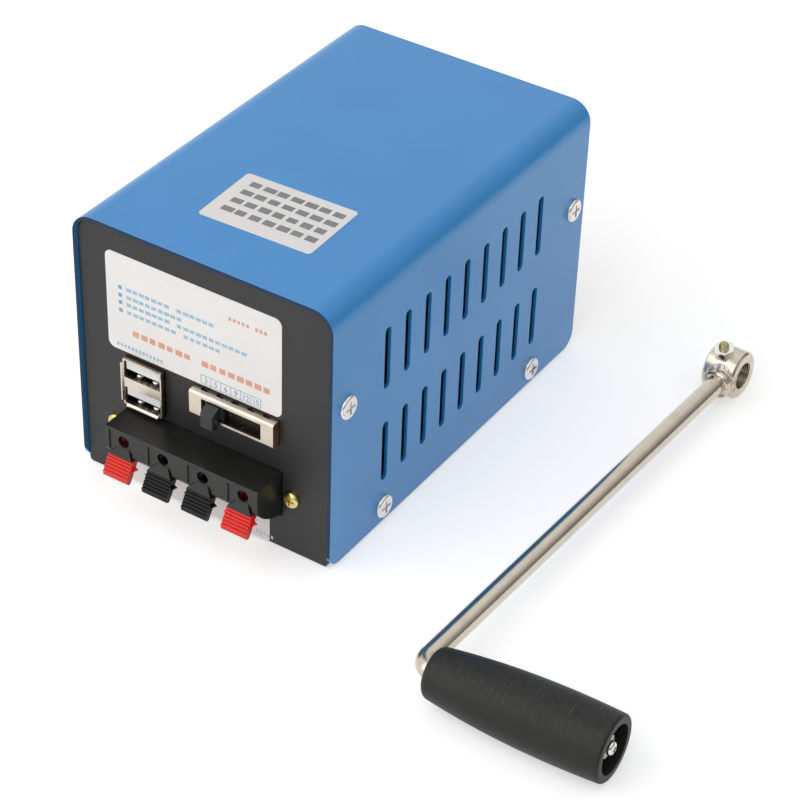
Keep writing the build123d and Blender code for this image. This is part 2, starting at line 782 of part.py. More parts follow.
def make_terminal_housing():
    """Black housing with a cell for each lever; its flange lies behind the panel."""
    x0 = terminal_block_centre_x - terminal_width / 2
    low_corner = (panel_face - 2.2, terminal_foot + 1.3)
    middle = ((terminal_front + low_corner[0]) / 2 - 0.8, (face_bottom + low_corner[1]) / 2 - 0.8)
    sides = Polyline((low_corner[0], low_corner[1]), (panel_face, terminal_foot), (panel_back, terminal_foot),
                     (panel_back, terminal_top), (terminal_front, terminal_top),
                     (terminal_front, face_bottom))
    belly = ThreePointArc((terminal_front, face_bottom), middle, low_corner)
    side_view = Plane(origin=(x0, 0, 0), x_dir=(0, 1, 0), z_dir=(1, 0, 0))
    housing = extrude(side_view * make_face(sides + belly), amount=terminal_width)
    housing = fillet(housing.edges().filter_by(Axis.X).filter_by(
        lambda e: abs(e.center().Y - terminal_front) < 0.1 and abs(e.center().Z - terminal_top) < 0.1), 0.5)
    flange_half = terminal_flange_width / 2
    housing += block(terminal_block_centre_x - flange_half, terminal_block_centre_x + flange_half, panel_back,
                     panel_back + terminal_flange_thickness, terminal_foot - terminal_flange_drop,
                     terminal_top - terminal_flange_drop)
    cuts = []
    for x in cell_xs:
        half = terminal_cell_width / 2
        cuts.append(block(x - half, x + half, terminal_front + terminal_wall, cell_back,
                          terminal_foot - 5, terminal_top - terminal_wall))
        cuts.append(block(x - half, x + half, terminal_front - 1, cell_back, terminal_foot - 5,
                          wall_foot))
        half = face_recess_width / 2
        cuts.append(block(x - half, x + half, terminal_front - 1, terminal_front + face_recess,
                          wall_foot, wire_hole_height + face_recess_rise))
        cuts.append(rod("Y", wire_hole_radius, terminal_front - 1, terminal_front + terminal_wall + 1,
                        x + wire_hole_shift, wire_hole_height))
        tail_half = contact_tail_width / 2
        cuts.append(block(x - tail_half, x + tail_half, cell_back - 0.01,
                          panel_back + terminal_flange_thickness + 1,
                          contact_height - contact_tail_thickness / 2,
                          contact_height + contact_tail_thickness / 2))
    cuts.append(rod("X", lever_pin_radius, x0 + 1, x0 + terminal_width - 1, pin_y, lever_pin_height))
    for x in terminal_screw_xs():
        cuts.append(rod("Y", terminal_screw_radius, panel_back - 1, panel_back + 2 * terminal_screw_length, x,
                        terminal_screw_height))
    return (housing - cuts) + [make_ramp(x) for x in cell_xs]


def make_terminal_contacts():
    """Spring contact of each cell, with a solder tail behind the panel."""
    solids = []
    for x in cell_xs:
        strip = block(x - contact_width / 2, x + contact_width / 2, cell_back - contact_thickness,
                      cell_back, contact_height - contact_half_height,
                      contact_height + contact_half_height)
        tail = block(x - contact_tail_width / 2, x + contact_tail_width / 2, cell_back - 0.1,
                     panel_back + terminal_flange_thickness + contact_tail_length,
                     contact_height - contact_tail_thickness / 2,
                     contact_height + contact_tail_thickness / 2)
        solids.append(strip + tail)
    return Compound(solids)


def make_terminal_screws():
    screw = cross_screw(terminal_screw_head_radius, terminal_screw_head_height, terminal_screw_radius,
                        terminal_screw_length)
    return Compound([facing((x, panel_face, terminal_screw_height), (0, -1, 0)) * screw
                     for x in terminal_screw_xs()])


def make_lever(x):
    """One lever: a plate behind the wire hole, a boss on the pin and a ribbed thumb pad outside."""
    half = lever_width / 2
    plate_front = terminal_front + lever_plate_setback
    plate_back = plate_front + lever_plate_thickness
    root = (terminal_front + 0.2, lever_pad_top)
    tip = (terminal_front - lever_pad_reach + 0.4, lever_pad_top - lever_pad_drop)
    run = (tip[0] - root[0], tip[1] - root[1])
    length = sqrt(run[0] ** 2 + run[1] ** 2)
    along = (run[0] / length, run[1] / length)
    under = (-along[1], along[0])
    if under[1] > 0:
        under = (along[1], -along[0])
    thick = lever_pad_thickness
    outline = [
        (plate_back, lever_pad_top),
        root,
        tip,
        (tip[0] + under[0] * thick + along[0] * 0.5, tip[1] + under[1] * thick + along[1] * 0.5),
        (root[0] + under[0] * thick, root[1] + under[1] * thick),
        (plate_back, lever_pad_top - thick),
    ]
    pad = Face(Wire.make_polygon([(x - half, y, z) for y, z in outline], close=True))
    lever = extrude(pad, amount=lever_width, dir=(1, 0, 0))
    lever += block(x - half, x + half, plate_front, plate_back, lever_pad_top - thick, lever_plate_top)
    lever += block(x - half, x + half, plate_back - 0.1, pin_y, lever_pad_top - thick, lever_pad_top)
    lever += rod("X", lever_boss_radius, x - half, x + half, pin_y, lever_pin_height)
    ribs = []
    for i in range(lever_rib_count):
        share = (i + 0.6) / lever_rib_count
        ribs.append(rod("X", lever_rib_radius, x - half, x + half, root[0] + run[0] * share,
                        root[1] + run[1] * share))
    ribs.append(rod("X", lever_pad_thickness / 2, x - half, x + half, tip[0] + under[0] * thick / 2,
                    tip[1] + under[1] * thick / 2))
    lever += ribs
    set_back = thick - lever_wing_thickness
    for side in (-1, 1):
        mid = (root[0] + along[0] * lever_wing_place + under[0] * set_back,
               root[1] + along[1] * lever_wing_place + under[1] * set_back)
        reach = lever_wing_length / 2
        wing_points = [
            (x + side * (half - 0.2), mid[0] - along[0] * reach, mid[1] - along[1] * reach),
            (x + side * (half + lever_wing_span), mid[0] - along[0] * reach * 0.4,
             mid[1] - along[1] * reach * 0.4),
            (x + side * (half - 0.2), mid[0] + along[0] * reach, mid[1] + along[1] * reach),
        ]
        wing = Face(Wire.make_polygon(wing_points, close=True))
        lever += extrude(wing, amount=lever_wing_thickness, dir=(0, under[0], under[1]))
    lever -= rod("X", lever_pin_radius + lever_bore_clearance, x - half - 1, x + half + 1, pin_y,
                 lever_pin_height)
    return lever


def make_lever_pin():
    x0 = terminal_block_centre_x - terminal_width / 2
    return rod("X", lever_pin_radius, x0 + 1, x0 + terminal_width - 1, pin_y, lever_pin_height)


# ---------------------------------------------------------------- circuit board
def make_board():
    board = block(-board_half_width, board_half_width, board_front, board_front + board_length,
                  board_bottom, board_top)
    holes = [rod("Z", small_screw_radius + small_screw_clearance, board_bottom - 1, board_top + 1, x, y)
             for x, y in standoff_places()]
    return board - holes


def make_board_standoffs():
    solids = []
    for x, y in standoff_places():
        post = hexagon("Z", standoff_across_flats, sheet, board_bottom, x, y)
        solids.append(post - rod("Z", small_screw_radius, board_top - board_screw_length,
                                 board_bottom + 1, x, y))
    return Compound(solids)


def make_board_screws():
    screw = small_screw(board_screw_length)
    return Compound([Pos(x, y, board_top) * screw for x, y in standoff_places()])


def make_capacitors():
    solids = []
    for x in capacitor_xs:
        can = Pos(x, front_edge + capacitor_inset, board_top) * extrude(Circle(capacitor_radius),
                                                                       amount=capacitor_height)
        can = fillet(can.edges().group_by(Axis.Z)[-1], 0.6)
        solids.append(can)
    return Compound(solids)


def make_coil():
    """Toroid coil lying flat on the board."""
    x, inset = coil_place
    coil = ring("Z", coil_outer_radius, coil_inner_radius, board_top, board_top + coil_height, x,
                front_edge + inset)
    return fillet(coil.edges().group_by(Axis.Z)[-1], 1.2)


def make_bridge():
    x, inset = bridge_place
    width, length, height = bridge_size
    y = front_edge + inset
    return block(x - width / 2, x + width / 2, y - length / 2, y + length / 2, board_top, board_top + height)


def make_regulator():
    x, inset = regulator_place
    width, length, height = regulator_size
    y = front_edge + inset
    return block(x - width / 2, x + width / 2, y - length, y, board_top, board_top + height)


def make_heatsink():
    """Finned plate against the back of the regulator."""
    x, inset = regulator_place
    width, thick, height = heatsink_size
    y = front_edge + inset
    sink = block(x - width / 2, x + width / 2, y, y + thick, board_top, board_top + height)
    step = (width - heatsink_fin_thickness) / (heatsink_fins - 1)
    for i in range(heatsink_fins):
        left = x - width / 2 + i * step
        sink += block(left, left + heatsink_fin_thickness, y + thick - 0.1, y + thick + heatsink_fin_length,
                      board_top, board_top + height)
    return sink


# ---------------------------------------------------------------- gear train
def direction_angle(pair):
    """Angle of a direction given along X and Z."""
    return Vector(pair[0], pair[1], 0).get_signed_angle(Vector(1, 0, 0), Vector(0, 0, -1)) * pi / 180


def plate(front):
    board = block(-plate_half_width, plate_half_width, front, front + plate_thickness, plate_bottom,
                  plate_top)
    return fillet(board.edges().filter_by(Axis.Y), plate_corner_radius)


def make_front_plate():
    cuts = [rod("Y", drive_shaft_radius + bush_wall, front_plate_front - 1, front_plate_back + 1, *drive_axis),
            rod("Y", idler_shaft_radius + bush_wall, front_plate_front - 1, front_plate_back + 1, *idler_axis),
            rod("Y", can_boss_radius, front_plate_front - 1, front_plate_back + 1, *motor_axis)]
    for x, z in pillar_places() + motor_screw_places():
        cuts.append(rod("Y", small_screw_radius + small_screw_clearance, front_plate_front - 1,
                        front_plate_back + 1, x, z))
    return plate(front_plate_front) - cuts


def make_rear_plate():
    cuts = [rod("Y", drive_shaft_radius + bush_wall, rear_plate_front - 1, rear_plate_back + 1, *drive_axis),
            rod("Y", idler_shaft_radius + bush_wall, rear_plate_front - 1, rear_plate_back + 1, *idler_axis)]
    for x, z in pillar_places():
        cuts.append(rod("Y", small_screw_radius + small_screw_clearance, rear_plate_front - 1,
                        rear_plate_back + 1, x, z))
    return plate(rear_plate_front) - cuts


def motor_screw_places():
    return [(motor_axis[0] + side * motor_screw_circle * 0.6, motor_axis[1] - side * motor_screw_circle * 0.8)
            for side in (-1, 1)]


def make_pillars():
    """Posts between the gear plates, tapped at both ends."""
    solids = []
    for x, z in pillar_places():
        post = rod("Y", pillar_radius, front_plate_back, rear_plate_front, x, z)
        post -= rod("Y", small_screw_radius, front_plate_back - 1, front_plate_back + pillar_thread_depth, x, z)
        post -= rod("Y", small_screw_radius, rear_plate_front - pillar_thread_depth, rear_plate_front + 1, x, z)
        solids.append(post)
    return Compound(solids)


def make_rear_spacers():
    bore = small_screw_radius + small_screw_clearance
    return Compound([ring("Y", pillar_radius, bore, rear_plate_back, rear_inner, x, z)
                     for x, z in pillar_places()])


def small_screw(length):
    return cross_screw(small_screw_head_radius, small_screw_head_height, small_screw_radius, length)


def make_gearbox_screws():
    """Long screws from the rear panel, short ones from the front plate, and the motor's two."""
    long_screw = small_screw(sheet + rear_spacer_length + plate_thickness + pillar_thread_depth)
    short_screw = small_screw(plate_thickness + pillar_thread_depth)
    solids = []
    for x, z in pillar_places():
        solids.append(facing((x, rear_face, z), (0, 1, 0)) * long_screw)
        solids.append(facing((x, front_plate_front, z), (0, -1, 0)) * short_screw)
    motor_screw = small_screw(plate_thickness + can_wall)
    for x, z in motor_screw_places():
        solids.append(facing((x, front_plate_back, z), (0, 1, 0)) * motor_screw)
    return Compound(solids)


def bush(shaft_radius, plate_face, flange_side, axis):
    """Flanged plain bearing pressed into a gear plate; its flange is on the gears' side."""
    bore = shaft_radius + running_clearance
    outer = shaft_radius + bush_wall
    body = ring("Y", outer, bore, plate_face, plate_face + plate_thickness, *axis)
    if flange_side > 0:
        start = plate_face + plate_thickness
    else:
        start = plate_face - bush_flange_thickness
    return body + ring("Y", outer + bush_flange, bore, start, start + bush_flange_thickness, *axis)


def make_gear_bushes():
    solids = []
    for radius, axis in ((drive_shaft_radius, drive_axis), (idler_shaft_radius, idler_axis)):
        solids.append(bush(radius, front_plate_front, 1, axis))
        solids.append(bush(radius, rear_plate_front, -1, axis))
    return Compound(solids)


def make_rear_bearing():
    """Threaded bearing in the rear panel, flanged inside."""
    bore = drive_shaft_radius + running_clearance
    body = ring("Y", rear_bearing_radius, bore, rear_inner - 0.1, rear_face + rear_bearing_reach, *drive_axis)
    return body + ring("Y", rear_bearing_flange_radius, bore, rear_inner - rear_bearing_flange_thickness,
                       rear_inner, *drive_axis)


def make_rear_nut():
    nut = hexagon("Y", rear_nut_across_flats, rear_face, rear_face + rear_nut_thickness, *drive_axis)
    return nut - rod("Y", rear_bearing_radius, rear_face - 1, rear_face + rear_nut_thickness + 1, *drive_axis)


def make_drive_shaft():
    """Stepped input shaft, with a flat on its thinner free end for the crank's set screw."""
    start = front_plate_front + shaft_end_gap
    shoulder = shaft_end - shaft_free_length
    shaft = rod("Y", drive_shaft_radius, start, shoulder, *drive_axis)
    tip = rod("Y", shaft_tip_radius, shoulder, shaft_end, *drive_axis)
    tip = chamfer(tip.edges().group_by(Axis.Y)[-1], shaft_chamfer)
    flat = block(-shaft_tip_radius, shaft_tip_radius, shoulder + shaft_flat_start, shaft_end + 1,
                 shaft_tip_radius - shaft_flat_depth, 2 * shaft_tip_radius)
    tip -= Pos(drive_axis[0], 0, drive_axis[1]) * Rot(0, shaft_flat_turn, 0) * flat
    return shaft + tip


def make_drive_gear():
    wheel = gear(drive_teeth, first_module, first_plane, first_gear_width, drive_axis,
                 direction_angle(idler_direction))
    hub_radius_here = drive_shaft_radius + gear_hub_wall
    wheel += rod("Y", hub_radius_here, first_plane - gear_hub_length, first_plane + first_gear_width,
                 *drive_axis)
    cuts = [rod("Y", drive_shaft_radius, first_plane - 20, first_plane + 20, *drive_axis)]
    for i in range(gear_window_count):
        turn = 2 * pi * i / gear_window_count
        cuts.append(rod("Y", gear_window_radius, first_plane - 1, first_plane + first_gear_width + 1,
                        drive_axis[0] + gear_window_circle * cos(turn),
                        drive_axis[1] + gear_window_circle * sin(turn)))
    return wheel - cuts


def make_drive_collars():
    """Collars on the input shaft beside the two bush flanges."""
    radius = drive_shaft_radius + collar_wall
    front = front_plate_back + bush_flange_thickness + collar_play
    rear = rear_plate_front - bush_flange_thickness - collar_play
    rear_start = max(first_plane + first_gear_width, rear - collar_length)
    return Compound([ring("Y", radius, drive_shaft_radius, front, front + collar_length, *drive_axis),
                     ring("Y", radius, drive_shaft_radius, rear_start, rear, *drive_axis)])


def make_idler_shaft():
    return rod("Y", idler_shaft_radius, front_plate_front + shaft_end_gap, rear_plate_back, *idler_axis)


def make_idler_pinion():
    toward_drive = direction_angle(idler_direction) + pi
    pinion = gear(idler_pinion_teeth, first_module, first_plane - pinion_overhang,
                  first_gear_width + 2 * pinion_overhang, idler_axis,
                  toward_drive + pi / idler_pinion_teeth)
    return pinion - rod("Y", idler_shaft_radius, first_plane - 10, first_plane + 20, *idler_axis)


def make_idler_gear():
    """Large idler wheel; its hub reaches back to the pinion."""
    wheel = gear(idler_gear_teeth, second_module, second_plane, second_gear_width, idler_axis,
                 direction_angle(motor_direction))
    wheel += rod("Y", idler_shaft_radius + 1.8, second_plane, first_plane - pinion_overhang, *idler_axis)
    return wheel - rod("Y", idler_shaft_radius, second_plane - 10, second_plane + 30, *idler_axis)


def make_motor_pinion():
    toward_idler = direction_angle(motor_direction) + pi
    pinion = gear(motor_pinion_teeth, second_module, second_plane - pinion_overhang,
                  second_gear_width + 2 * pinion_overhang, motor_axis,
                  toward_idler + pi / motor_pinion_teeth)
    return pinion - rod("Y", motor_shaft_radius, second_plane - 10, second_plane + 20, *motor_axis)


# ---------------------------------------------------------------- generator


def make_motor_can():
    """Steel can, closed towards the gears, with the boss that centres it in the plate."""
    x, z = motor_axis
    can = ring("Y", can_radius, can_radius - can_wall, can_front, front_plate_front, x, z)
    can += rod("Y", can_radius - can_wall / 2, front_plate_front - can_wall, front_plate_front, x, z)
    can += rod("Y", can_boss_radius, front_plate_front - 0.1, front_plate_back, x, z)
    cuts = [rod("Y", motor_bearing_radius, front_plate_front - can_wall - 1, front_plate_back + 1, x, z)]
    for sx, sz in motor_screw_places():
        cuts.append(rod("Y", small_screw_radius, front_plate_front - can_wall - 1, front_plate_front + 1, sx, sz))
    return can - cuts


def make_motor_cap():
    """Plastic end cap with the rear bearing's boss."""
    x, z = motor_axis
    cap = rod("Y", can_radius, cap_front, can_front, x, z)
    cap += rod("Y", cap_boss_radius, cap_front - cap_boss_length, cap_front + 0.1, x, z)
    cap -= rod("Y", motor_bearing_radius, cap_front - cap_boss_length + 1, can_front + 1, x, z)
    return cap


def make_motor_bearings():
    x, z = motor_axis
    bore = motor_shaft_radius + running_clearance
    front = cap_front - cap_boss_length + 1
    return Compound([ring("Y", motor_bearing_radius, bore, front, front + 4, x, z),
                     ring("Y", motor_bearing_radius, bore, front_plate_front - can_wall,
                          front_plate_back, x, z)])


def make_magnets():
    x, z = motor_axis
    outer = can_radius - can_wall
    start = magnet_start
    tube = ring("Y", outer, outer - magnet_thickness, start, start + magnet_length, x, z)
    end = start + magnet_length
    reach = outer + 1
    left = tube & block(x - reach, x, start, end, z - reach, z + reach)
    right = tube & block(x, x + reach, start, end, z - reach, z + reach)
    gap = block(x - magnet_gap_half, x + magnet_gap_half, start - 1, end + 1, z - reach, z + reach)
    return Compound([solid for half in (left - gap, right - gap) for solid in half.solids()])


def make_brushes():
    """Carbon brushes on the end cap, one each side of the commutator."""
    x, z = motor_axis
    near = commutator_radius + brush_gap
    width, length = brush_size
    left = block(x - near - brush_length, x - near, can_front, can_front + length, z - width / 2, z + width / 2)
    right = block(x + near, x + near + brush_length, can_front, can_front + length, z - width / 2, z + width / 2)
    return Compound([left, right])


def make_rotor_shaft():
    x, z = motor_axis
    return rod("Y", motor_shaft_radius, cap_front - cap_boss_length + 1.4,
               second_plane + second_gear_width + pinion_overhang + 0.6, x, z)


def make_rotor_core():
    """Slotted iron core of the rotor."""
    x, z = motor_axis
    radius = can_radius - can_wall - magnet_thickness - air_gap
    core = rod("Y", radius, core_start, core_start + core_length, x, z)
    cuts = [rod("Y", motor_shaft_radius, core_start - 1, core_start + core_length + 1, x, z)]
    for i in range(core_slots):
        slot = block(radius - core_slot_depth, radius + 1, core_start - 1, core_start + core_length + 1,
                     -core_slot_width / 2, core_slot_width / 2)
        cuts.append(Pos(x, 0, z) * Rot(0, 360 * i / core_slots, 0) * slot)
    return core - cuts


def make_rotor_windings():
    """The coil ends that bulge out on both faces of the core."""
    x, z = motor_axis
    inner = motor_shaft_radius
    near = ring("Y", winding_radius, inner, core_start - winding_length, core_start, x, z)
    far = ring("Y", winding_radius, inner, core_start + core_length,
               core_start + core_length + winding_length, x, z)
    near = fillet(near.edges().group_by(Axis.Y)[0].sort_by(SortBy.RADIUS)[-1], 2.2)
    far = fillet(far.edges().group_by(Axis.Y)[-1].sort_by(SortBy.RADIUS)[-1], 2.2)
    return Compound([near, far])


def make_commutator():
    x, z = motor_axis
    start = can_front + commutator_setback
    return ring("Y", commutator_radius, motor_shaft_radius, start, start + commutator_length, x, z)


def make_leads():
    """Leads from the motor's end cap to the board, and short ones from the terminals' tails."""
    tail_y = panel_back + terminal_flange_thickness + contact_tail_length - tail_end_inset
    tail_top = contact_height + contact_tail_thickness / 2
    solids = [rod("Z", lead_radius, tail_top, board_bottom, x, tail_y) for x in cell_xs]
    for side in (-1, 1):
        x = motor_axis[0] + side * lead_spread
        z = board_top + lead_rise
        y = board_front + board_length - lead_end_inset
        path = FilletPolyline((x, cap_front, z), (x, y, z), (x, y, board_top), radius=lead_bend)
        section = Plane(origin=(x, cap_front, z), z_dir=(0, -1, 0)) * Circle(lead_radius)
        solids.append(sweep(section, path=path))
    return Compound(solids)


# ---------------------------------------------------------------- crank
# The crank is drawn with its hub on the origin, its bore along X and its rod towards -Y,
# and then laid on the table beside the case: the hub and the grip's far end touch it.
# It is rolled a little, so the hub touches with one end and the grip with its belly.
hub_rest = hub_radius * cos(radians(crank_roll)) + (hub_length / 2 - hub_chamfer) * sin(radians(crank_roll))
grip_rest = (grip_belly_radius - (grip_start + grip_belly_place) * sin(radians(crank_roll))
             + crank_rest_margin)
crank_tilt = degrees(asin((grip_rest - hub_rest) / crank_throw))
crank_lay = (Pos(hub_place[0], hub_place[1], hub_rest) * Rot(0, 0, crank_turn)
             * Rot(-crank_tilt, 0, 0) * Rot(0, -crank_roll, 0))
grip_lay = crank_lay * Pos(crank_rod_offset, -crank_throw, 0) * Rot(0, 0, crank_bend_turn - 90)
grip_seat = grip_start + grip_length - grip_recess_depth
rod_seat = hub_radius - weld_sink


def make_crank_hub():
    """Welded hub: a short thick tube with the clamping screw's tapped hole."""
    hub = rod("X", hub_radius, -hub_length / 2, hub_length / 2, 0, 0)
    hub = chamfer(hub.edges(), hub_chamfer)
    bead = Pos(crank_rod_offset, -rod_seat, 0) * Rot(90, 0, 0) * extrude(Circle(weld_radius),
                                                                          amount=weld_length)
    bead = fillet(bead.edges().group_by(Axis.Y)[0], weld_round)
    hub += bead
    bore = shaft_tip_radius + hub_bore_clearance
    hub -= rod("X", bore, -hub_length, hub_length, 0, 0)
    hub -= Rot(-set_screw_turn, 0, 0) * rod("Z", set_screw_radius, 0, 2 * hub_radius, set_screw_offset, 0)
    hub -= rod("Y", crank_rod_radius, -2 * hub_radius, -rod_seat, crank_rod_offset, 0)
    return crank_lay * hub


def make_crank_rod():
    """Round rod from the hub, bent into the spindle that the grip turns on."""
    stop = grip_seat + washer_play
    turn = radians(crank_bend_turn - 90)
    corner = (crank_rod_offset, -crank_throw, 0)
    end = (corner[0] + stop * cos(turn), corner[1] + stop * sin(turn), 0)
    start = (crank_rod_offset, -rod_seat, 0)
    path = FilletPolyline(start, corner, end, radius=crank_bend_radius)
    section = Plane(origin=start, z_dir=(0, -1, 0)) * Circle(crank_rod_radius)
    bar = sweep(section, path=path)
    tapped = Pos(*corner) * Rot(0, 0, crank_bend_turn - 90) * rod(
        "X", grip_screw_radius, stop - grip_screw_length, stop + 1, 0, 0)
    return crank_lay * (bar - tapped)


def make_set_screw():
    """Headless screw that bears on the shaft's flat through the hub's wall."""
    start = shaft_tip_radius + hub_bore_clearance + 0.2
    screw = rod("Z", set_screw_radius, start, set_screw_tip_height, 0, 0)
    screw = fillet(screw.edges().group_by(Axis.Z)[-1], set_screw_round)
    width, depth = set_screw_slot
    slot = block(-set_screw_radius - 1, set_screw_radius + 1, -width / 2, width / 2,
                 set_screw_tip_height - depth, set_screw_tip_height + 1)
    screw -= Rot(0, 0, set_screw_slot_turn) * slot
    return crank_lay * Rot(-set_screw_turn, 0, 0) * Pos(set_screw_offset, 0, 0) * screw


def make_lock_nut():
    nut = hexagon("Z", lock_nut_across_flats, lock_nut_seat, lock_nut_seat + lock_nut_thickness, 0, 0)
    nut -= rod("Z", set_screw_radius, lock_nut_seat - 1, lock_nut_seat + lock_nut_thickness + 1, 0, 0)
    nut -= rod("X", hub_radius, -hub_length, hub_length, 0, 0)
    return crank_lay * Rot(-set_screw_turn, 0, 0) * Pos(set_screw_offset, 0, 0) * nut


def make_grip():
    """Moulded grip: round near end, swelling belly, open recess with a boss at the far end."""
    end = grip_start + grip_length
    groove = end - grip_groove_depth
    bore = crank_rod_radius + grip_bore_clearance
    near_flat = grip_near_radius - grip_near_round
    outer = Line((grip_start, bore), (grip_start, near_flat))
    outer += RadiusArc((grip_start, near_flat), (grip_start + grip_near_round, grip_near_radius),
                       grip_near_round)
    outer += Spline((grip_start + grip_near_round, grip_near_radius),
                    (grip_start + grip_shoulder_place, grip_shoulder_radius),
                    (grip_start + grip_belly_place, grip_belly_radius), (end - grip_far_round, grip_far_radius))
    outer += RadiusArc((end - grip_far_round, grip_far_radius), (end, grip_far_radius - grip_far_round),
                       grip_far_round)
    outer += Polyline((end, grip_far_radius - grip_far_round), (end, grip_recess_radius),
                      (groove, grip_recess_radius), (groove, grip_boss_radius),
                      (grip_seat, grip_boss_radius), (grip_seat, bore), (grip_start, bore))
    grip = revolve(make_face(outer), axis=Axis.X)
    mouth = Pos(grip_start + grip_mouth_depth / 2, 0, 0) * Rot(0, 90, 0) * Cone(
        grip_mouth_radius, bore, grip_mouth_depth)
    return grip_lay * (grip - mouth)


def make_grip_washer():
    seat = grip_seat + washer_play
    return grip_lay * ring("X", washer_radius, grip_screw_radius, seat, seat + washer_thickness, 0, 0)


def make_grip_screw():
    seat = grip_seat + washer_play + washer_thickness
    screw = cross_screw(grip_screw_head_radius, grip_screw_head_height, grip_screw_radius, grip_screw_length)
    return grip_lay * facing((seat, 0, 0), (1, 0, 0)) * screw


# ---------------------------------------------------------------- write every node
def build_parts():
    front_stickers, top_sticker = make_stickers()
    parts = {
        "cover": make_cover(),
        "chassis": make_chassis(),
        "cover_screws": make_cover_screws(),
        "front_stickers": front_stickers,
        "top_sticker": top_sticker,
        "usb_shell": make_usb_shell(),
        "usb_insulator": make_usb_insulator(),
        "usb_contacts": make_usb_contacts(),
        "switch_frame": make_switch_frame(),
        "switch_body": make_switch_body(),
        "switch_slider": make_switch_slider(),
        "switch_pins": make_switch_pins(),
        "terminal_housing": make_terminal_housing(),
        "terminal_contacts": make_terminal_contacts(),
        "terminal_screws": make_terminal_screws(),
        "lever_pin": make_lever_pin(),
        "circuit_board": make_board(),
        "board_standoffs": make_board_standoffs(),
        "board_screws": make_board_screws(),
        "capacitors": make_capacitors(),
        "coil": make_coil(),
        "bridge_rectifier": make_bridge(),
        "regulator": make_regulator(),
        "heatsink": make_heatsink(),
        "front_gear_plate": make_front_plate(),
        "rear_gear_plate": make_rear_plate(),
        "gearbox_pillars": make_pillars(),
        "rear_spacers": make_rear_spacers(),
        "gearbox_screws": make_gearbox_screws(),
        "gear_bushes": make_gear_bushes(),
        "rear_bearing": make_rear_bearing(),
        "rear_bearing_nut": make_rear_nut(),
        "drive_shaft": make_drive_shaft(),
        "drive_gear": make_drive_gear(),
        "drive_collars": make_drive_collars(),
        "idler_shaft": make_idler_shaft(),
        "idler_pinion": make_idler_pinion(),
        "idler_gear": make_idler_gear(),
        "motor_pinion": make_motor_pinion(),
        "motor_can": make_motor_can(),
        "motor_end_cap": make_motor_cap(),
        "motor_bearings": make_motor_bearings(),
        "motor_magnets": make_magnets(),
        "motor_brushes": make_brushes(),
        "board_leads": make_leads(),
        "rotor_shaft": make_rotor_shaft(),
        "rotor_core": make_rotor_core(),
        "rotor_windings": make_rotor_windings(),
        "rotor_commutator": make_commutator(),
        "crank_hub": make_crank_hub(),
        "crank_rod": make_crank_rod(),
        "crank_set_screw": make_set_screw(),
        "crank_lock_nut": make_lock_nut(),
        "crank_grip": make_grip(),
        "grip_washer": make_grip_washer(),
        "grip_screw": make_grip_screw(),
    }
    for number, x in enumerate(cell_xs, start=1):
        parts[f"terminal_lever_{number}"] = make_lever(x)
    return parts


def main():
    os.makedirs("parts", exist_ok=True)
    for name, shape in build_parts().items():
        export_step(shape, f"parts/{name}.step")


if __name__ == "__main__":
    main()
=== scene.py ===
"""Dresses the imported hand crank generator: paints, metals, printed marks, weld, threads and studio."""

import json
from math import cos, pi, radians, sin

import bpy
import numpy as np
from mathutils import Matrix, Vector


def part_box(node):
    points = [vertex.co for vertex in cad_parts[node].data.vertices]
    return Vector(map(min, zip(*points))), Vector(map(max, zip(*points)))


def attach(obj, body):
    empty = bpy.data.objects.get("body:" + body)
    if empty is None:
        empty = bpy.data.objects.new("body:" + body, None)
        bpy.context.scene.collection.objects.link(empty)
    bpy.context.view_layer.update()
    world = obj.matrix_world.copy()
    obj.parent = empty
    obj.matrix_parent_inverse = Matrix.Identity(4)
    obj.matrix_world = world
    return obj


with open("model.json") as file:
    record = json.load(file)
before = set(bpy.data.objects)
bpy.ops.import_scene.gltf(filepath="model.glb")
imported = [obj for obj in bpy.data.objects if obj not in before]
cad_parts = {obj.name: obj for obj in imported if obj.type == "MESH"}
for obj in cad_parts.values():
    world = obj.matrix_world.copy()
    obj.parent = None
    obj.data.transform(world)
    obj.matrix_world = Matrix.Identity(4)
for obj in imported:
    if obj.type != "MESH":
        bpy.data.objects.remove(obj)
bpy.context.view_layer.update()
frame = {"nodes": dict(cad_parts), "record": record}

bl_info = {
    "name": "Hand Crank Generator",
    "version": (1, 0, 0),
    "blender": (4, 5, 0),
    "location": "View3D > Sidebar > Generator",
    "description": "Finishes, printed marks and studio for the packed hand crank generator",
    "category": "Object",
}

MM = 0.001
NODES = frame["nodes"]
SLOT_OF = {row["node"]: row["material_slot"] for row in frame["record"]["subparts"]}

DUST = (0.45, 0.44, 0.42)
BROWN_STAIN = (0.22, 0.15, 0.08)
# painted shade deep inside the socket's shell
SOCKET_PAINTED_SHADE = (0.075, 0.052, 0.035)
# painted shade: navy black for the cover's cut front edge
CUT_EDGE_PAINTED_SHADE = (0.012, 0.035, 0.085)
THREAD_PITCH = 0.7 * MM         # rings in the hub's bore
ROD_RADIUS = 3.0 * MM
ROD_OFFSET = 0.8 * MM           # from the hub's middle to the rod's line, along the bore
WELD_START = 6.8 * MM           # from the hub's middle to the weld's root
WELD_PATCH = 5.2 * MM           # radius of the burnt patch round the rod
WELD_WAVES = 14
FILM_TURN = radians(1.9)        # of the top sticker
SCALE_START, SCALE_FOOT = 31.9, -31.7   # corner of the switch's scale on the front film, in millimetres
FLOOR_GLOW = 0.45               # what the camera and reflections see on top of the floor's light
LAMP_SIZE = 1.6
LAMP_PLACE = (-0.35, -0.85, 0.74)
CARD_RADIUS, CARD_HEIGHT = 1.6, 1.9
LOOK_AT = Vector((0.02243, 0.0, 0.00991))


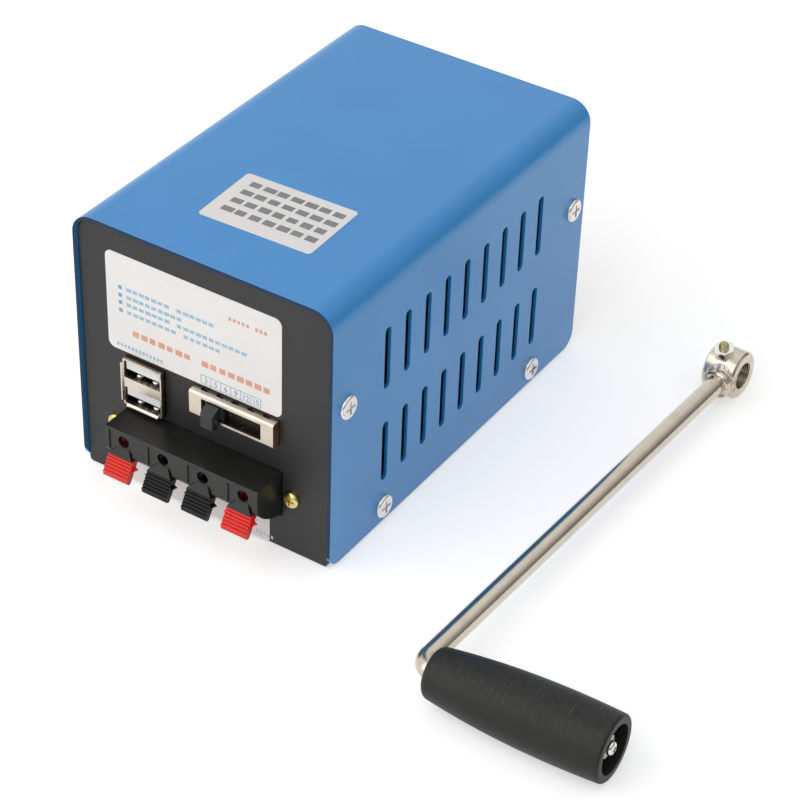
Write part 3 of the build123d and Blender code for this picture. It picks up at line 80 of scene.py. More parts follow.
def linear(code):
    """A web colour such as 4A7BB0 as linear red, green and blue."""
    parts = [int(code[i:i + 2], 16) / 255 for i in (0, 2, 4)]
    return tuple(p / 12.92 if p <= 0.04045 else ((p + 0.055) / 1.055) ** 2.4 for p in parts)


# ---------------------------------------------------------------- settings
def colour(name, code, text):
    return bpy.props.FloatVectorProperty(name=name, description=text, subtype="COLOR", size=3, min=0, max=1,
                                         default=linear(code))


def length(name, millimetres, text):
    return bpy.props.FloatProperty(name=name, description=text, subtype="DISTANCE", unit="LENGTH",
                                   default=millimetres * MM, min=0.0)


def amount(name, value, text):
    return bpy.props.FloatProperty(name=name, description=text, default=value, min=0.0)


class GeneratorColours(bpy.types.PropertyGroup):
    """Colours of the case, the plastics and the metals."""
    case_blue: colour("Case blue", "2C93DC", "Powder coat of the cover")
    panel_black: colour("Panel black", "232222", "Powder coat of the chassis")
    label_white: colour("Label white", "F6F3F0", "Film of the stickers")
    mark_blue: colour("Mark blue", "A6CDE2", "Printed rows")
    scale_blue: colour("Scale blue", "78AFD2", "Boxes and numbers above the switch")
    mark_pale: colour("Mark pale", "C4DCE8", "Printed rows of the low sticker")
    mark_orange: colour("Mark orange", "EDAA92", "Printed row that stands out")
    mark_grey: colour("Mark grey", "8A8A8C", "Printed rows of the top sticker")
    lever_red: colour("Lever red", "E8220F", "Outer press levers")
    lever_black: colour("Lever black", "121211", "Inner press levers")
    plastic_black: colour("Plastic black", "191917", "Terminal housing")
    knob_black: colour("Knob black", "262A28", "Slide switch knob")
    grip_black: colour("Grip black", "1B1B19", "Turning grip")
    plating: colour("Plating", "D8CDBE", "Nickel of the sockets and the switch")
    crank_plating: colour("Crank plating", "CFC6B7", "Nickel of the crank")
    screw_yellow: colour("Screw yellow", "DCCB86", "Zinc of the terminal screws")


class PrintedMarks(bpy.types.PropertyGroup):
    """Sizes of the printed bars and numbers."""
    lift: length("Lift", 0.03, "How far the ink lies off the film")
    row_height: length("Row height", 1.15, "Height of the bars in the blue rows")
    row_pitch: length("Row pitch", 2.15, "From one bar to the next in the blue rows")
    box_width: length("Box width", 3.34, "Width of one box of the scale")
    box_height: length("Box height", 2.9, "Height of the scale's boxes")
    line_width: length("Line width", 0.18, "Width of the scale's lines")
    number_height: length("Number height", 1.9, "Height of the scale's numbers")
    top_height: length("Top bar height", 2.6, "Height of the bars on the top sticker")
    top_pitch: length("Top bar pitch", 4.53, "From one bar to the next on the top sticker")


class MetalDetail(bpy.types.PropertyGroup):
    """Sizes of the weld between hub and rod."""
    weld_radius: length("Weld radius", 5.3, "Radius of the weld against the hub")
    weld_length: length("Weld length", 3.4, "How far the weld runs along the rod")
    weld_ripple: length("Weld ripple", 0.55, "Height of the weld's lumps")


class Studio(bpy.types.PropertyGroup):
    """Camera and lamps."""
    azimuth: bpy.props.FloatProperty(name="Azimuth", description="Camera's turn round the object",
                                     subtype="ANGLE", default=radians(31.993))
    elevation: bpy.props.FloatProperty(name="Elevation", description="Camera's height above the horizon",
                                       subtype="ANGLE", default=radians(36.964))
    roll: bpy.props.FloatProperty(name="Roll", description="Camera's turn about its own line of sight",
                                  subtype="ANGLE", default=radians(2.164))
    distance: length("Distance", 747.5, "Camera to the point that it looks at")
    lens: bpy.props.FloatProperty(name="Lens", description="Focal length in millimetres", default=114.034,
                                  min=1.0)
    key_power: amount("Key power", 8.2, "Power of the large lamp, in watts")
    sky: amount("Sky", 0.52, "Strength of the surrounding light")
    card_shade: amount("Card shade", 0.97, "How dark the card on the right looks in the metal")
    floor_tone: colour("Floor tone", "F4F4F4", "Colour of the floor")
    card_tone: colour("Card tone", "4A4038", "Colour of the card that darkens the metal's right flank")


SETTINGS = {"generator_colours": GeneratorColours, "generator_marks": PrintedMarks,
            "generator_metal": MetalDetail, "generator_studio": Studio}


# ---------------------------------------------------------------- shader helpers
class Graph:
    """Adds nodes and links to one node tree."""

    def __init__(self, tree):
        self.tree = tree

    def add(self, kind, inputs=None, **settings):
        """One node; each input takes a value, or an output socket to link from."""
        node = self.tree.nodes.new(kind)
        for key, value in settings.items():
            setattr(node, key, value)
        for key, value in (inputs or {}).items():
            self.feed(node.inputs[key], value)
        return node

    def feed(self, socket, value):
        if isinstance(value, bpy.types.NodeSocket):
            self.tree.links.new(value, socket)
        elif isinstance(socket.default_value, float) or isinstance(value, str):
            socket.default_value = value
        else:
            wanted = len(socket.default_value)
            socket.default_value = (*value, 1.0)[:wanted]

    def math(self, operation, a, b=0.0):
        return self.add("ShaderNodeMath", {0: a, 1: b}, operation=operation).outputs[0]

    def blend(self, share, a, b):
        node = self.add("ShaderNodeMix", data_type="RGBA")
        self.feed(node.inputs[0], share)
        self.feed(node.inputs[6], a)
        self.feed(node.inputs[7], b)
        return node.outputs[2]

    def spread(self, value, low, high, to_low=0.0, to_high=1.0):
        node = self.add("ShaderNodeMapRange", {0: value, 1: low, 2: high, 3: to_low, 4: to_high})
        return node.outputs[0]

    def noise(self, vector, scale, detail=3.0):
        node = self.add("ShaderNodeTexNoise", {"Vector": vector, "Scale": scale, "Detail": detail})
        return node.outputs["Fac"]


def new_group(name, inputs, outputs):
    """A shader node group with named sockets; returns its graph, group input and group output."""
    group = bpy.data.node_groups.new(name, "ShaderNodeTree")
    kinds = {"colour": "NodeSocketColor", "value": "NodeSocketFloat", "vector": "NodeSocketVector"}
    for label, kind in inputs:
        group.interface.new_socket(name=label, in_out="INPUT", socket_type=kinds[kind])
    for label, kind in outputs:
        group.interface.new_socket(name=label, in_out="OUTPUT", socket_type=kinds[kind])
    graph = Graph(group)
    return graph, graph.add("NodeGroupInput").outputs, graph.add("NodeGroupOutput").inputs


def object_place(graph):
    return graph.add("ShaderNodeTexCoord").outputs["Object"]


def build_groups():
    """The shared effects: patchy grain, drawn streaks and dust."""
    graph, given, made = new_group(
        "Patchy grain",
        [("Colour", "colour"), ("Second colour", "colour"), ("Patch scale", "value"),
         ("Grain scale", "value"), ("Roughness", "value"), ("Roughness spread", "value")],
        [("Colour", "colour"), ("Roughness", "value"), ("Height", "value")])
    place = object_place(graph)
    patch = graph.noise(place, given["Patch scale"], 4.0)
    grain = graph.noise(place, given["Grain scale"], 2.0)
    share = graph.spread(patch, 0.35, 0.65)
    graph.feed(made["Colour"], graph.blend(share, given["Colour"], given["Second colour"]))
    lean = graph.math("MULTIPLY", graph.math("SUBTRACT", patch, 0.5), given["Roughness spread"])
    graph.feed(made["Roughness"], graph.math("ADD", given["Roughness"], lean))
    graph.feed(made["Height"], grain)

    graph, given, made = new_group(
        "Drawn streaks",
        [("Colour", "colour"), ("Stain colour", "colour"), ("Stretch", "vector"), ("Stain", "value"),
         ("Roughness", "value"), ("Roughness spread", "value")],
        [("Colour", "colour"), ("Roughness", "value"), ("Height", "value")])
    place = object_place(graph)
    stretched = graph.add("ShaderNodeVectorMath", {0: place, 1: given["Stretch"]}, operation="MULTIPLY")
    streak = graph.noise(stretched.outputs[0], 1.0, 4.0)
    cloud = graph.noise(place, 160.0, 5.0)
    stain = graph.math("MULTIPLY", graph.spread(cloud, 0.5, 0.75), given["Stain"])
    graph.feed(made["Colour"], graph.blend(stain, given["Colour"], given["Stain colour"]))
    lean = graph.math("MULTIPLY", graph.math("SUBTRACT", streak, 0.5), given["Roughness spread"])
    graph.feed(made["Roughness"], graph.math("ADD", given["Roughness"], lean))
    graph.feed(made["Height"], streak)

    graph, given, made = new_group(
        "Settled dust", [("Colour", "colour"), ("Dust colour", "colour"), ("Amount", "value")],
        [("Colour", "colour")])
    up = graph.add("ShaderNodeSeparateXYZ", {0: graph.add("ShaderNodeNewGeometry").outputs["Normal"]})
    specks = graph.spread(graph.noise(object_place(graph), 900.0, 4.0), 0.45, 0.8)
    facing = graph.spread(up.outputs["Z"], 0.2, 1.0)
    mask = graph.math("MULTIPLY", graph.math("MULTIPLY", specks, facing), given["Amount"])
    graph.feed(made["Colour"], graph.blend(mask, given["Colour"], given["Dust colour"]))


def call_group(graph, name, values):
    node = graph.add("ShaderNodeGroup", node_tree=bpy.data.node_groups[name])
    for key, value in values.items():
        graph.feed(node.inputs[key], value)
    return node.outputs


def new_material(name, fixed):
    """An empty material with one Principled shader; fixed holds its plain constants."""
    material = bpy.data.materials.new(name)
    material.use_nodes = True
    graph = Graph(material.node_tree)
    shader = material.node_tree.nodes["Principled BSDF"]
    for key, value in fixed.items():
        graph.feed(shader.inputs[key], value)
    return material, graph, shader


def close_material(graph, shader, colour_out, roughness_out, height_out, strength, depth):
    """Feeds the shader's colour, roughness and bump."""
    graph.feed(shader.inputs["Base Color"], colour_out)
    graph.feed(shader.inputs["Roughness"], roughness_out)
    bump = graph.add("ShaderNodeBump", {"Strength": strength, "Distance": depth, "Height": height_out})
    graph.feed(shader.inputs["Normal"], bump.outputs[0])


def grainy(graph, tone, second, patch, grain, roughness, spread):
    """Colour, roughness and height of the patchy grain."""
    return call_group(graph, "Patchy grain", {
        "Colour": tone, "Second colour": second, "Patch scale": patch, "Grain scale": grain,
        "Roughness": roughness, "Roughness spread": spread})


def dusted(graph, tone, share):
    """A colour with a share of dust on what faces up."""
    return call_group(graph, "Settled dust", {"Colour": tone, "Dust colour": DUST, "Amount": share})["Colour"]


def streaky(graph, tone, stain_tone, stretch, stain, roughness, spread):
    """Colour, roughness and height of the drawn streaks."""
    return call_group(graph, "Drawn streaks", {
        "Colour": tone, "Stain colour": stain_tone, "Stretch": stretch, "Stain": stain,
        "Roughness": roughness, "Roughness spread": spread})


def shade(tone, share):
    """A colour made darker or lighter by a share."""
    return tuple(min(1.0, part * share) for part in tone)


def coated(name, tone, patch=60.0, grain=2600.0, roughness=0.45, spread=0.12, variation=0.9, strength=0.12,
           depth=0.00004, dust=0.0, fixed=None):
    """Paint, plastic or film: a patchy colour, fine grain in the surface and a little dust on top."""
    material, graph, shader = new_material(name, fixed or {})
    out = grainy(graph, tone, shade(tone, variation), patch, grain, roughness, spread)
    dusty = dusted(graph, out["Colour"], dust)
    close_material(graph, shader, dusty, out["Roughness"], out["Height"], strength, depth)
    return material


def plated(name, tone, stain_tone=BROWN_STAIN, stretch=(400.0, 400.0, 400.0), stain=0.25,
           roughness=0.28, spread=0.2, strength=0.15, depth=0.00003):
    """Bare or plated metal: streaks along the way it was drawn, and stains."""
    material, graph, shader = new_material(name, {"Metallic": 1.0})
    out = streaky(graph, tone, stain_tone, stretch, stain, roughness, spread)
    close_material(graph, shader, out["Colour"], out["Roughness"], out["Height"], strength, depth)
    return material


def near_line(graph, point, axis, radius):
    """A mask that is one inside a cylinder about a line, from the distance of each place to the line."""
    place = graph.add("ShaderNodeVectorMath", {0: object_place(graph), 1: point}, operation="SUBTRACT")
    crossed = graph.add("ShaderNodeVectorMath", {0: place.outputs[0], 1: axis}, operation="CROSS_PRODUCT")
    distance = graph.add("ShaderNodeVectorMath", {0: crossed.outputs[0]}, operation="LENGTH")
    return graph.spread(distance.outputs["Value"], radius, radius * 1.03, 1.0, 0.0), place.outputs[0]


def hub_bore():
    """The hub's middle, its bore's direction and its bore's radius, from the record."""
    hub = next(mount for mount in frame["record"]["mounts"] if mount["name"] == "crank_hub")
    return Vector(hub["pos_m"]), Vector(hub["axis"]), hub["dims"]["r_mm"] * MM


def hub_metal(tone):
    """Hub plating with a brown, ringed bore, and a burnt, lumpy patch round the rod's root."""
    centre, axis, radius = hub_bore()
    material, graph, shader = new_material("Hub plating", {"Metallic": 1.0})
    out = streaky(graph, tone, (0.20, 0.14, 0.08), (300.0, 300.0, 300.0), 0.35, 0.2, 0.25)
    inside, place = near_line(graph, centre, axis, radius * 1.06)
    along = graph.add("ShaderNodeVectorMath", {0: place, 1: axis}, operation="DOT_PRODUCT")
    rings = graph.math("SINE", graph.math("MULTIPLY", along.outputs["Value"], 2 * pi / THREAD_PITCH))
    brown = graph.blend(graph.spread(rings, -1.0, 1.0), (0.14, 0.10, 0.07), (0.42, 0.34, 0.25))
    final = graph.blend(inside, out["Colour"], brown)
    ridges = graph.math("MULTIPLY", rings, graph.math("MULTIPLY", inside, 3.0))
    height = graph.math("ADD", out["Height"], ridges)
    along_rod, _, _ = rod_frame()
    near, from_root = near_line(graph, Vector(rod_line(0.0)), Vector(along_rod), WELD_PATCH)
    outward = graph.add("ShaderNodeVectorMath", {0: from_root, 1: Vector(along_rod)}, operation="DOT_PRODUCT")
    spatter = graph.math("MULTIPLY", graph.math("MULTIPLY", near, graph.math("SUBTRACT", 1.0, inside)),
                         graph.spread(outward.outputs["Value"], 0.003, 0.005))
    lumps = graph.math("MULTIPLY", graph.noise(object_place(graph), 700.0, 4.0), graph.math(
        "MULTIPLY", spatter, 12.0))
    burnt = graph.spread(graph.noise(object_place(graph), 520.0, 4.0), 0.5, 0.62, 0.0, 0.75)
    final = graph.blend(graph.math("MULTIPLY", burnt, spatter), final, (0.22, 0.15, 0.10))
    height = graph.math("ADD", height, lumps)
    close_material(graph, shader, final, out["Roughness"], height, 0.5, 0.00006)
    return material


def cover_paint(tone):
    """The cover's powder coat, with painted shade: a dark line along the sheet's cut front edge."""
    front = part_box("cover")[0].y
    material, graph, shader = new_material("Blue powder coat", {"Coat Roughness": 0.3})
    out = grainy(graph, tone, shade(tone, 0.93), 28.0, 1900.0, 0.36, 0.1)
    dusty = dusted(graph, out["Colour"], 0.03)
    place = graph.add("ShaderNodeSeparateXYZ", {0: object_place(graph)}).outputs
    # Painted shade: the sheet's cut front edge is painted navy black; it is also made rougher and loses its
    # clear coat.
    edge = graph.spread(place["Y"], front + 0.00012, front + 0.00022, 1.0, 0.0)
    colour_out = graph.blend(edge, dusty, CUT_EDGE_PAINTED_SHADE)
    matt = graph.math("MAXIMUM", out["Roughness"], graph.math("MULTIPLY", edge, 0.8))
    close_material(graph, shader, colour_out, matt, out["Height"], 0.1, 0.00005)
    graph.feed(shader.inputs["Coat Weight"], graph.spread(edge, 0.0, 1.0, 0.35, 0.0))
    return material


def scuffed(name, tone):
    """Black rubber-like plastic with faint pale scuffs."""
    material, graph, shader = new_material(name, {"Specular IOR Level": 0.35})
    out = grainy(graph, tone, shade(tone, 0.85), 50.0, 1700.0, 0.5, 0.14)
    dusty = dusted(graph, out["Colour"], 0.04)
    stretched = graph.add("ShaderNodeVectorMath", {0: object_place(graph), 1: (1400.0, 90.0, 700.0)},
                          operation="MULTIPLY")
    scuff = graph.spread(graph.noise(stretched.outputs[0], 1.0, 3.0), 0.64, 0.74, 0.0, 0.3)
    colour_out = graph.blend(scuff, dusty, (0.11, 0.11, 0.10))
    close_material(graph, shader, colour_out, out["Roughness"], out["Height"], 0.3, 0.00006)
    return material


def laminate():
    """Brown laminate of the slide switch: near black behind the slot, which is painted shade, with a few
    bright specks that are painted glints.
    """
    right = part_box("switch_frame")[1].x
    material, graph, shader = new_material("Brown laminate", {"Specular IOR Level": 0.4})
    out = grainy(graph, (0.20, 0.075, 0.025), (0.09, 0.032, 0.012), 420.0, 1800.0, 0.5, 0.2)
    place = graph.add("ShaderNodeSeparateXYZ", {0: object_place(graph)}).outputs
    right_end = graph.spread(place["X"], right - 0.0012, right - 0.0006)
    # Behind the slot: painted shade, near black, with bright specks that are painted glints; only the right
    # end shows the laminate's own brown.
    specks = graph.spread(graph.noise(object_place(graph), 1500.0, 2.0), 0.70, 0.74)
    inside = graph.blend(specks, (0.012, 0.007, 0.004), (0.35, 0.22, 0.10))
    close_material(graph, shader, graph.blend(right_end, inside, out["Colour"]), out["Roughness"],
                   out["Height"], 0.2, 0.00004)
    return material


def socket_plating(tone):
    """Nickel of the socket's shell, with painted shade: darker and browner with the depth behind its front.
    """
    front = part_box("usb_shell")[0].y
    material, graph, shader = new_material("Socket plating", {"Metallic": 1.0})
    out = streaky(graph, tone, BROWN_STAIN, (200.0, 500.0, 1200.0), 0.25, 0.28, 0.2)
    place = graph.add("ShaderNodeSeparateXYZ", {0: object_place(graph)}).outputs
    # Painted shade in the socket's recess: the shell turns darker and browner with the depth behind its
    # front.
    depth = graph.spread(place["Y"], front + 0.0007, front + 0.0026)
    colour_out = graph.blend(depth, out["Colour"], SOCKET_PAINTED_SHADE)
    close_material(graph, shader, colour_out, out["Roughness"], out["Height"], 0.15, 0.00003)
    return material


def build_finishes(c):
    """One material for each material slot of the record, and a few that one piece needs for itself."""
    build_groups()
    slots = {
        "blue_paint": cover_paint(c.case_blue),
        "black_paint": coated("Black powder coat", c.panel_black, 50.0, 2400.0, 0.5, 0.12, 0.88, 0.2, 0.00005,
                              0.02),
        "bright_steel": plated("Bright steel", (0.80, 0.78, 0.75), roughness=0.22),
        "yellow_zinc": plated("Yellow zinc", c.screw_yellow, (0.45, 0.32, 0.10), stain=0.5, roughness=0.25),
        "sticker": coated("Sticker film", c.label_white, 70.0, 1200.0, 0.38, 0.1, 0.96, 0.05, 0.00003),
        "socket_nickel": socket_plating(c.plating),
        "white_plastic": coated("White plastic", (0.87, 0.87, 0.85), 90.0, 1500.0, 0.35, 0.1, 0.95, 0.05),
        "contact_gold": plated("Contact plating", (0.86, 0.80, 0.68), stain=0.15, roughness=0.25),
        "switch_nickel": plated("Switch plating", c.plating, stretch=(1200.0, 500.0, 200.0), roughness=0.3),
        "brown_laminate": laminate(),
        "black_plastic": coated("Black plastic", c.plastic_black, 60.0, 2200.0, 0.42, 0.14, 0.85, 0.12),
        "red_plastic": coated("Red plastic", c.lever_red, 80.0, 1500.0, 0.3, 0.1, 0.9, 0.08),
        "board_green": coated("Solder resist", (0.03, 0.13, 0.06), 150.0, 3000.0, 0.35, 0.1, 0.75, 0.05),
        "zinc_plate": plated("Zinc plate", (0.55, 0.56, 0.58), stretch=(900.0, 300.0, 60.0), roughness=0.38),
        "capacitor_sleeve": coated("Capacitor sleeve", (0.03, 0.035, 0.09), 100.0, 1200.0, 0.3, 0.1, 0.8,
                                   0.05),
        "copper": plated("Enamelled wire", (0.60, 0.24, 0.10), (0.2, 0.07, 0.03), stain=0.5, roughness=0.3),
        "aluminium": plated("Aluminium", (0.66, 0.67, 0.69), stretch=(80.0, 80.0, 900.0), roughness=0.36),
        "wire_red": coated("Wire insulation", (0.40, 0.02, 0.015), 90.0, 900.0, 0.35, 0.1, 0.85, 0.05),
        "bronze": plated("Sintered bronze", (0.50, 0.34, 0.16), stain=0.4, roughness=0.42),
        "gear_steel": plated("Ground steel", (0.50, 0.50, 0.51), stretch=(900.0, 60.0, 900.0), roughness=0.3),
        "gear_nylon": coated("Gear nylon", (0.72, 0.70, 0.60), 70.0, 1500.0, 0.4, 0.1, 0.92, 0.06),
        "motor_steel": plated("Drawn can steel", (0.56, 0.57, 0.58), stretch=(600.0, 60.0, 600.0),
                              roughness=0.32),
        "ferrite": coated("Ferrite", (0.035, 0.035, 0.04), 200.0, 3000.0, 0.6, 0.15, 0.7, 0.2),
        "core_steel": plated("Core sheets", (0.36, 0.36, 0.38), stretch=(30.0, 3000.0, 30.0), roughness=0.4,
                             strength=0.5),
        "carbon": coated("Carbon", (0.02, 0.02, 0.02), 200.0, 2600.0, 0.6, 0.1, 0.7, 0.2),
        "crank_nickel": plated("Crank plating", c.crank_plating, stretch=(900.0, 25.0, 900.0), stain=0.18,
                               roughness=0.2, spread=0.12),
        "grip_plastic": scuffed("Grip plastic", c.grip_black),
    }
    own = {
        "switch_slider": coated("Knob plastic", c.knob_black, 70.0, 1800.0, 0.5, 0.1, 0.85, 0.1),
        "crank_hub": hub_metal(c.crank_plating),
        "crank_lock_nut": plated("Bright nut", (0.88, 0.85, 0.80), stain=0.15, roughness=0.16, spread=0.1),
        "usb_contacts": plated("Grounding springs", (0.84, 0.83, 0.80), stain=0.1, roughness=0.2),
        "crank_set_screw": plated("Blackened brass screw", (0.42, 0.37, 0.22), (0.12, 0.10, 0.05), stain=0.5,
                                  roughness=0.35, spread=0.3),
    }
    inner = coated("Inner lever plastic", c.lever_black, 60.0, 2200.0, 0.24, 0.08, 0.85, 0.06,
                   fixed={"Specular IOR Level": 0.22})
    own.update({"terminal_lever_2": inner, "terminal_lever_3": inner})
    for node, piece in NODES.items():
        piece.data.materials.clear()
        piece.data.materials.append(own.get(node) or slots[SLOT_OF[node]])


# ---------------------------------------------------------------- mesh helpers
def new_piece(name, points, faces, finish, body, smooth=True):
    """A mesh object at the origin from arrays of points and faces, riding on a body."""
    mesh = bpy.data.meshes.new(name)
    mesh.from_pydata(np.asarray(points, float).tolist(), [], np.asarray(faces, int).tolist())
    mesh.polygons.foreach_set("use_smooth", np.full(len(mesh.polygons), smooth))
    mesh.materials.append(bpy.data.materials[finish])
    mesh.update()
    piece = bpy.data.objects.new(name, mesh)
    bpy.context.scene.collection.objects.link(piece)
    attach(piece, body)
    return piece


def grid_faces(rows, columns):
    """Quads of a grid of points, whose columns close on themselves."""
    i, j = np.meshgrid(np.arange(rows - 1), np.arange(columns), indexing="ij")
    nxt = (j + 1) % columns
    quads = np.stack([i * columns + j, i * columns + nxt, (i + 1) * columns + nxt, (i + 1) * columns + j], -1)
    return quads.reshape(-1, 4)


def frame_of(axis, hint):
    """Three square directions: the axis and two across it."""
    a = np.array(axis, float) / np.linalg.norm(axis)
    u = np.cross(a, np.array(hint, float))
    u /= np.linalg.norm(u)
    return a, u, np.cross(a, u)


# ---------------------------------------------------------------- printed marks
def flat_bars(bars, origin, across, up, lift):
    """Flat bars on a plane: each is (left, foot, width, height), and the lift sets them off the plane."""
    bars = np.asarray(bars, float) * MM
    origin, across, up = (np.array(v, float) for v in (origin, across, up))
    left, foot, width, height = bars.T
    u = np.stack([left, left + width, left + width, left], 1)
    v = np.stack([foot, foot, foot + height, foot + height], 1)
    points = origin + u[..., None] * across + v[..., None] * up + lift * np.cross(across, up)
    return points.reshape(-1, 3), np.arange(len(bars) * 4).reshape(-1, 4)


def row_of_bars(start, end, middle, height, pitch, fill, rng, skip=()):
    """Bars of slightly uneven width along one row."""
    places = np.arange(start, end - pitch * fill, pitch)
    places = np.delete(places, [s for s in skip if s < len(places)])
    widths = pitch * fill * rng.uniform(0.86, 1.1, len(places))
    heights = height * rng.uniform(0.85, 1.0, len(places))
    return np.stack([places, middle - heights / 2, widths, heights], 1)


def front_film():
    """The large front sticker's upper left corner and its plane, in metres."""
    low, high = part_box("front_stickers")
    return low.x, low.y, high.z


def make_front_marks(marks):
    """The blue and orange rows of the large front sticker, as plain bars."""
    left, face, top = front_film()
    rng = np.random.default_rng(4)
    origin = (left, face, top)
    height, pitch = marks.row_height / MM, marks.row_pitch / MM
    blue = [row_of_bars(6.9, 37.6, -10.9, height, pitch, 0.76, rng, (7,)),
            row_of_bars(6.9, 27.4, -13.5, height, pitch, 0.76, rng),
            row_of_bars(6.9, 49.8, -15.9, height, pitch, 0.76, rng, (7, 19)),
            row_of_bars(6.9, 40.2, -18.5, height, pitch, 0.76, rng, (8,)),
            row_of_bars(3.0, 19.0, -30.3, height, 1.25, 0.62, rng)]
    points, faces = flat_bars(np.concatenate(blue), origin, (1, 0, 0), (0, 0, 1), marks.lift)
    new_piece("front_blue_rows", points, faces, "Blue ink", "generator", False)
    bullets = np.stack([np.full(4, 4.2), np.array([-10.9, -13.5, -15.9, -18.5]) - 0.6, np.full(4, 1.2),
                        np.full(4, 1.2)], 1)
    points, faces = flat_bars(bullets, origin, (1, 0, 0), (0, 0, 1), marks.lift)
    new_piece("front_bullets", points, faces, "Scale ink", "generator", False)
    orange = [row_of_bars(8.6, 55.6, -24.9, 1.9, 2.95, 0.72, rng, (7,)),
              row_of_bars(41.5, 54.5, -6.3, 1.2, 1.45, 0.6, rng, (5,))]
    points, faces = flat_bars(np.concatenate(orange), origin, (1, 0, 0), (0, 0, 1), marks.lift)
    new_piece("front_orange_rows", points, faces, "Orange ink", "generator", False)


def make_top_marks(marks):
    """Four rows of plain grey bars on the top sticker, turned with it."""
    low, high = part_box("top_sticker")
    across, up = (cos(FILM_TURN), sin(FILM_TURN), 0.0), (-sin(FILM_TURN), cos(FILM_TURN), 0.0)
    centre = ((low.x + high.x) / 2, (low.y + high.y) / 2, high.z)
    rng = np.random.default_rng(8)
    pitch, height = marks.top_pitch / MM, marks.top_height / MM
    rows = [row_of_bars(-14.4, 16.8, middle, height, pitch, 0.78, rng) for middle in (8.0, 3.4, -1.3, -6.0)]
    points, faces = flat_bars(np.concatenate(rows), centre, across, up, marks.lift)
    new_piece("top_grey_rows", points, faces, "Grey ink", "generator", False)


def make_low_marks(marks):
    """Small pale bars on the low sticker, one group under each lever."""
    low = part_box("front_stickers")[0]
    rng = np.random.default_rng(5)
    rows = [row_of_bars(x, x + 6.0, 1.9, 1.2, 1.3, 0.6, rng) for x in (6.0, 19.6, 33.2, 44.0)]
    origin = (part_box("terminal_housing")[0].x + 0.0094, low.y, low.z)
    points, faces = flat_bars(np.concatenate(rows), origin, (1, 0, 0), (0, 0, 1), marks.lift)
    new_piece("low_pale_rows", points, faces, "Pale ink", "generator", False)


def make_scale(marks):
    """Six boxes with plain numbers above the switch's six positions."""
    left, face, top = front_film()
    width, height, line = (v / MM for v in (marks.box_width, marks.box_height, marks.line_width))
    start, foot = SCALE_START, SCALE_FOOT
    uprights = [(start + i * width - line / 2, foot, line, height) for i in range(7)]
    rails = [(start, foot + j * height - line / 2, 6 * width, line) for j in (0, 1)]
    points, faces = flat_bars(uprights + rails, (left, face, top), (1, 0, 0), (0, 0, 1), marks.lift)
    new_piece("scale_boxes", points, faces, "Scale ink", "generator", False)
    meshes = []
    for i, number in enumerate(("3", "5", "6", "9", "12", "15")):
        text = bpy.data.curves.new("scale_text", "FONT")
        text.body = number
        text.size = marks.number_height * 1.35
        text.align_x = "CENTER"
        text.space_character = 0.9
        holder = bpy.data.objects.new("scale_text", text)
        bpy.context.scene.collection.objects.link(holder)
        bpy.context.view_layer.update()
        mesh = bpy.data.meshes.new_from_object(holder.evaluated_get(bpy.context.evaluated_depsgraph_get()))
        place = Vector((left + (start + (i + 0.5) * width) * MM, face - marks.lift,
                        top + (foot + height / 2) * MM - marks.number_height / 2))
        mesh.transform(Matrix.Translation(place) @ Matrix.Rotation(radians(90), 4, "X"))
        meshes.append(mesh)
        bpy.data.objects.remove(holder)
    counts = [len(mesh.vertices) for mesh in meshes]
    starts = np.cumsum([0] + counts[:-1])
    points = np.concatenate([mesh_points(mesh) for mesh in meshes])
    faces = [[int(s) + v for v in polygon.vertices] for s, mesh in zip(starts, meshes)
             for polygon in mesh.polygons]
    piece = bpy.data.meshes.new("scale_numbers")
    piece.from_pydata(points.tolist(), [], faces)
    piece.materials.append(bpy.data.materials["Scale ink"])
    numbers = bpy.data.objects.new("scale_numbers", piece)
    bpy.context.scene.collection.objects.link(numbers)
    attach(numbers, "generator")


def mesh_points(mesh):
    """All points of a mesh as one array."""
    points = np.zeros(len(mesh.vertices) * 3)
    mesh.vertices.foreach_get("co", points)
    return points.reshape(-1, 3)


# ---------------------------------------------------------------- metal details
def make_weld(metal):
    """The uneven weld between hub and rod.

    A point at angle t and share s along the rod lies at radius rod - 0.2 mm + (weld - rod) * (1 - s)^1.6,
    so the outer end closes inside the rod. To that comes the ripple times a sum of waves
    sin(a t + b s + p) with whole numbers a, divided by the root of their number. It fades to nothing
    at the outer end.
    """
    along, u, v = rod_frame()
    root = rod_line(WELD_START)
    s, t = np.meshgrid(np.linspace(0, 1, 56), np.linspace(0, 2 * np.pi, 160, endpoint=False), indexing="ij")
    rng = np.random.default_rng(11)
    turns, drifts = rng.integers(2, 13, WELD_WAVES), rng.uniform(-14, 14, WELD_WAVES)
    phases = rng.uniform(0, 6, (WELD_WAVES, 1, 1))
    lumps = np.sin(turns[:, None, None] * t + drifts[:, None, None] * s + phases).sum(0) / np.sqrt(WELD_WAVES)
    radius = ROD_RADIUS - 0.2 * MM + (metal.weld_radius - ROD_RADIUS) * (1 - s) ** 1.6
    radius += metal.weld_ripple * lumps * np.sin(np.pi * np.clip(s + 0.12, 0, 1))
    reach = s * metal.weld_length
    points = (root + reach[..., None] * along + (radius * np.cos(t))[..., None] * u
              + (radius * np.sin(t))[..., None] * v)
    new_piece("weld_bead", points.reshape(-1, 3), grid_faces(56, 160), "Weld metal", "crank")


def rod_frame():
    """The rod's direction away from the hub, and two directions across it."""
    centre, axis, _ = hub_bore()
    bore = np.array(axis)
    rod_low, rod_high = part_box("crank_rod")
    middle = np.array(rod_low + rod_high) / 2
    rough = middle - np.array(centre)
    along = rough - bore * rough.dot(bore)
    return frame_of(along, bore)


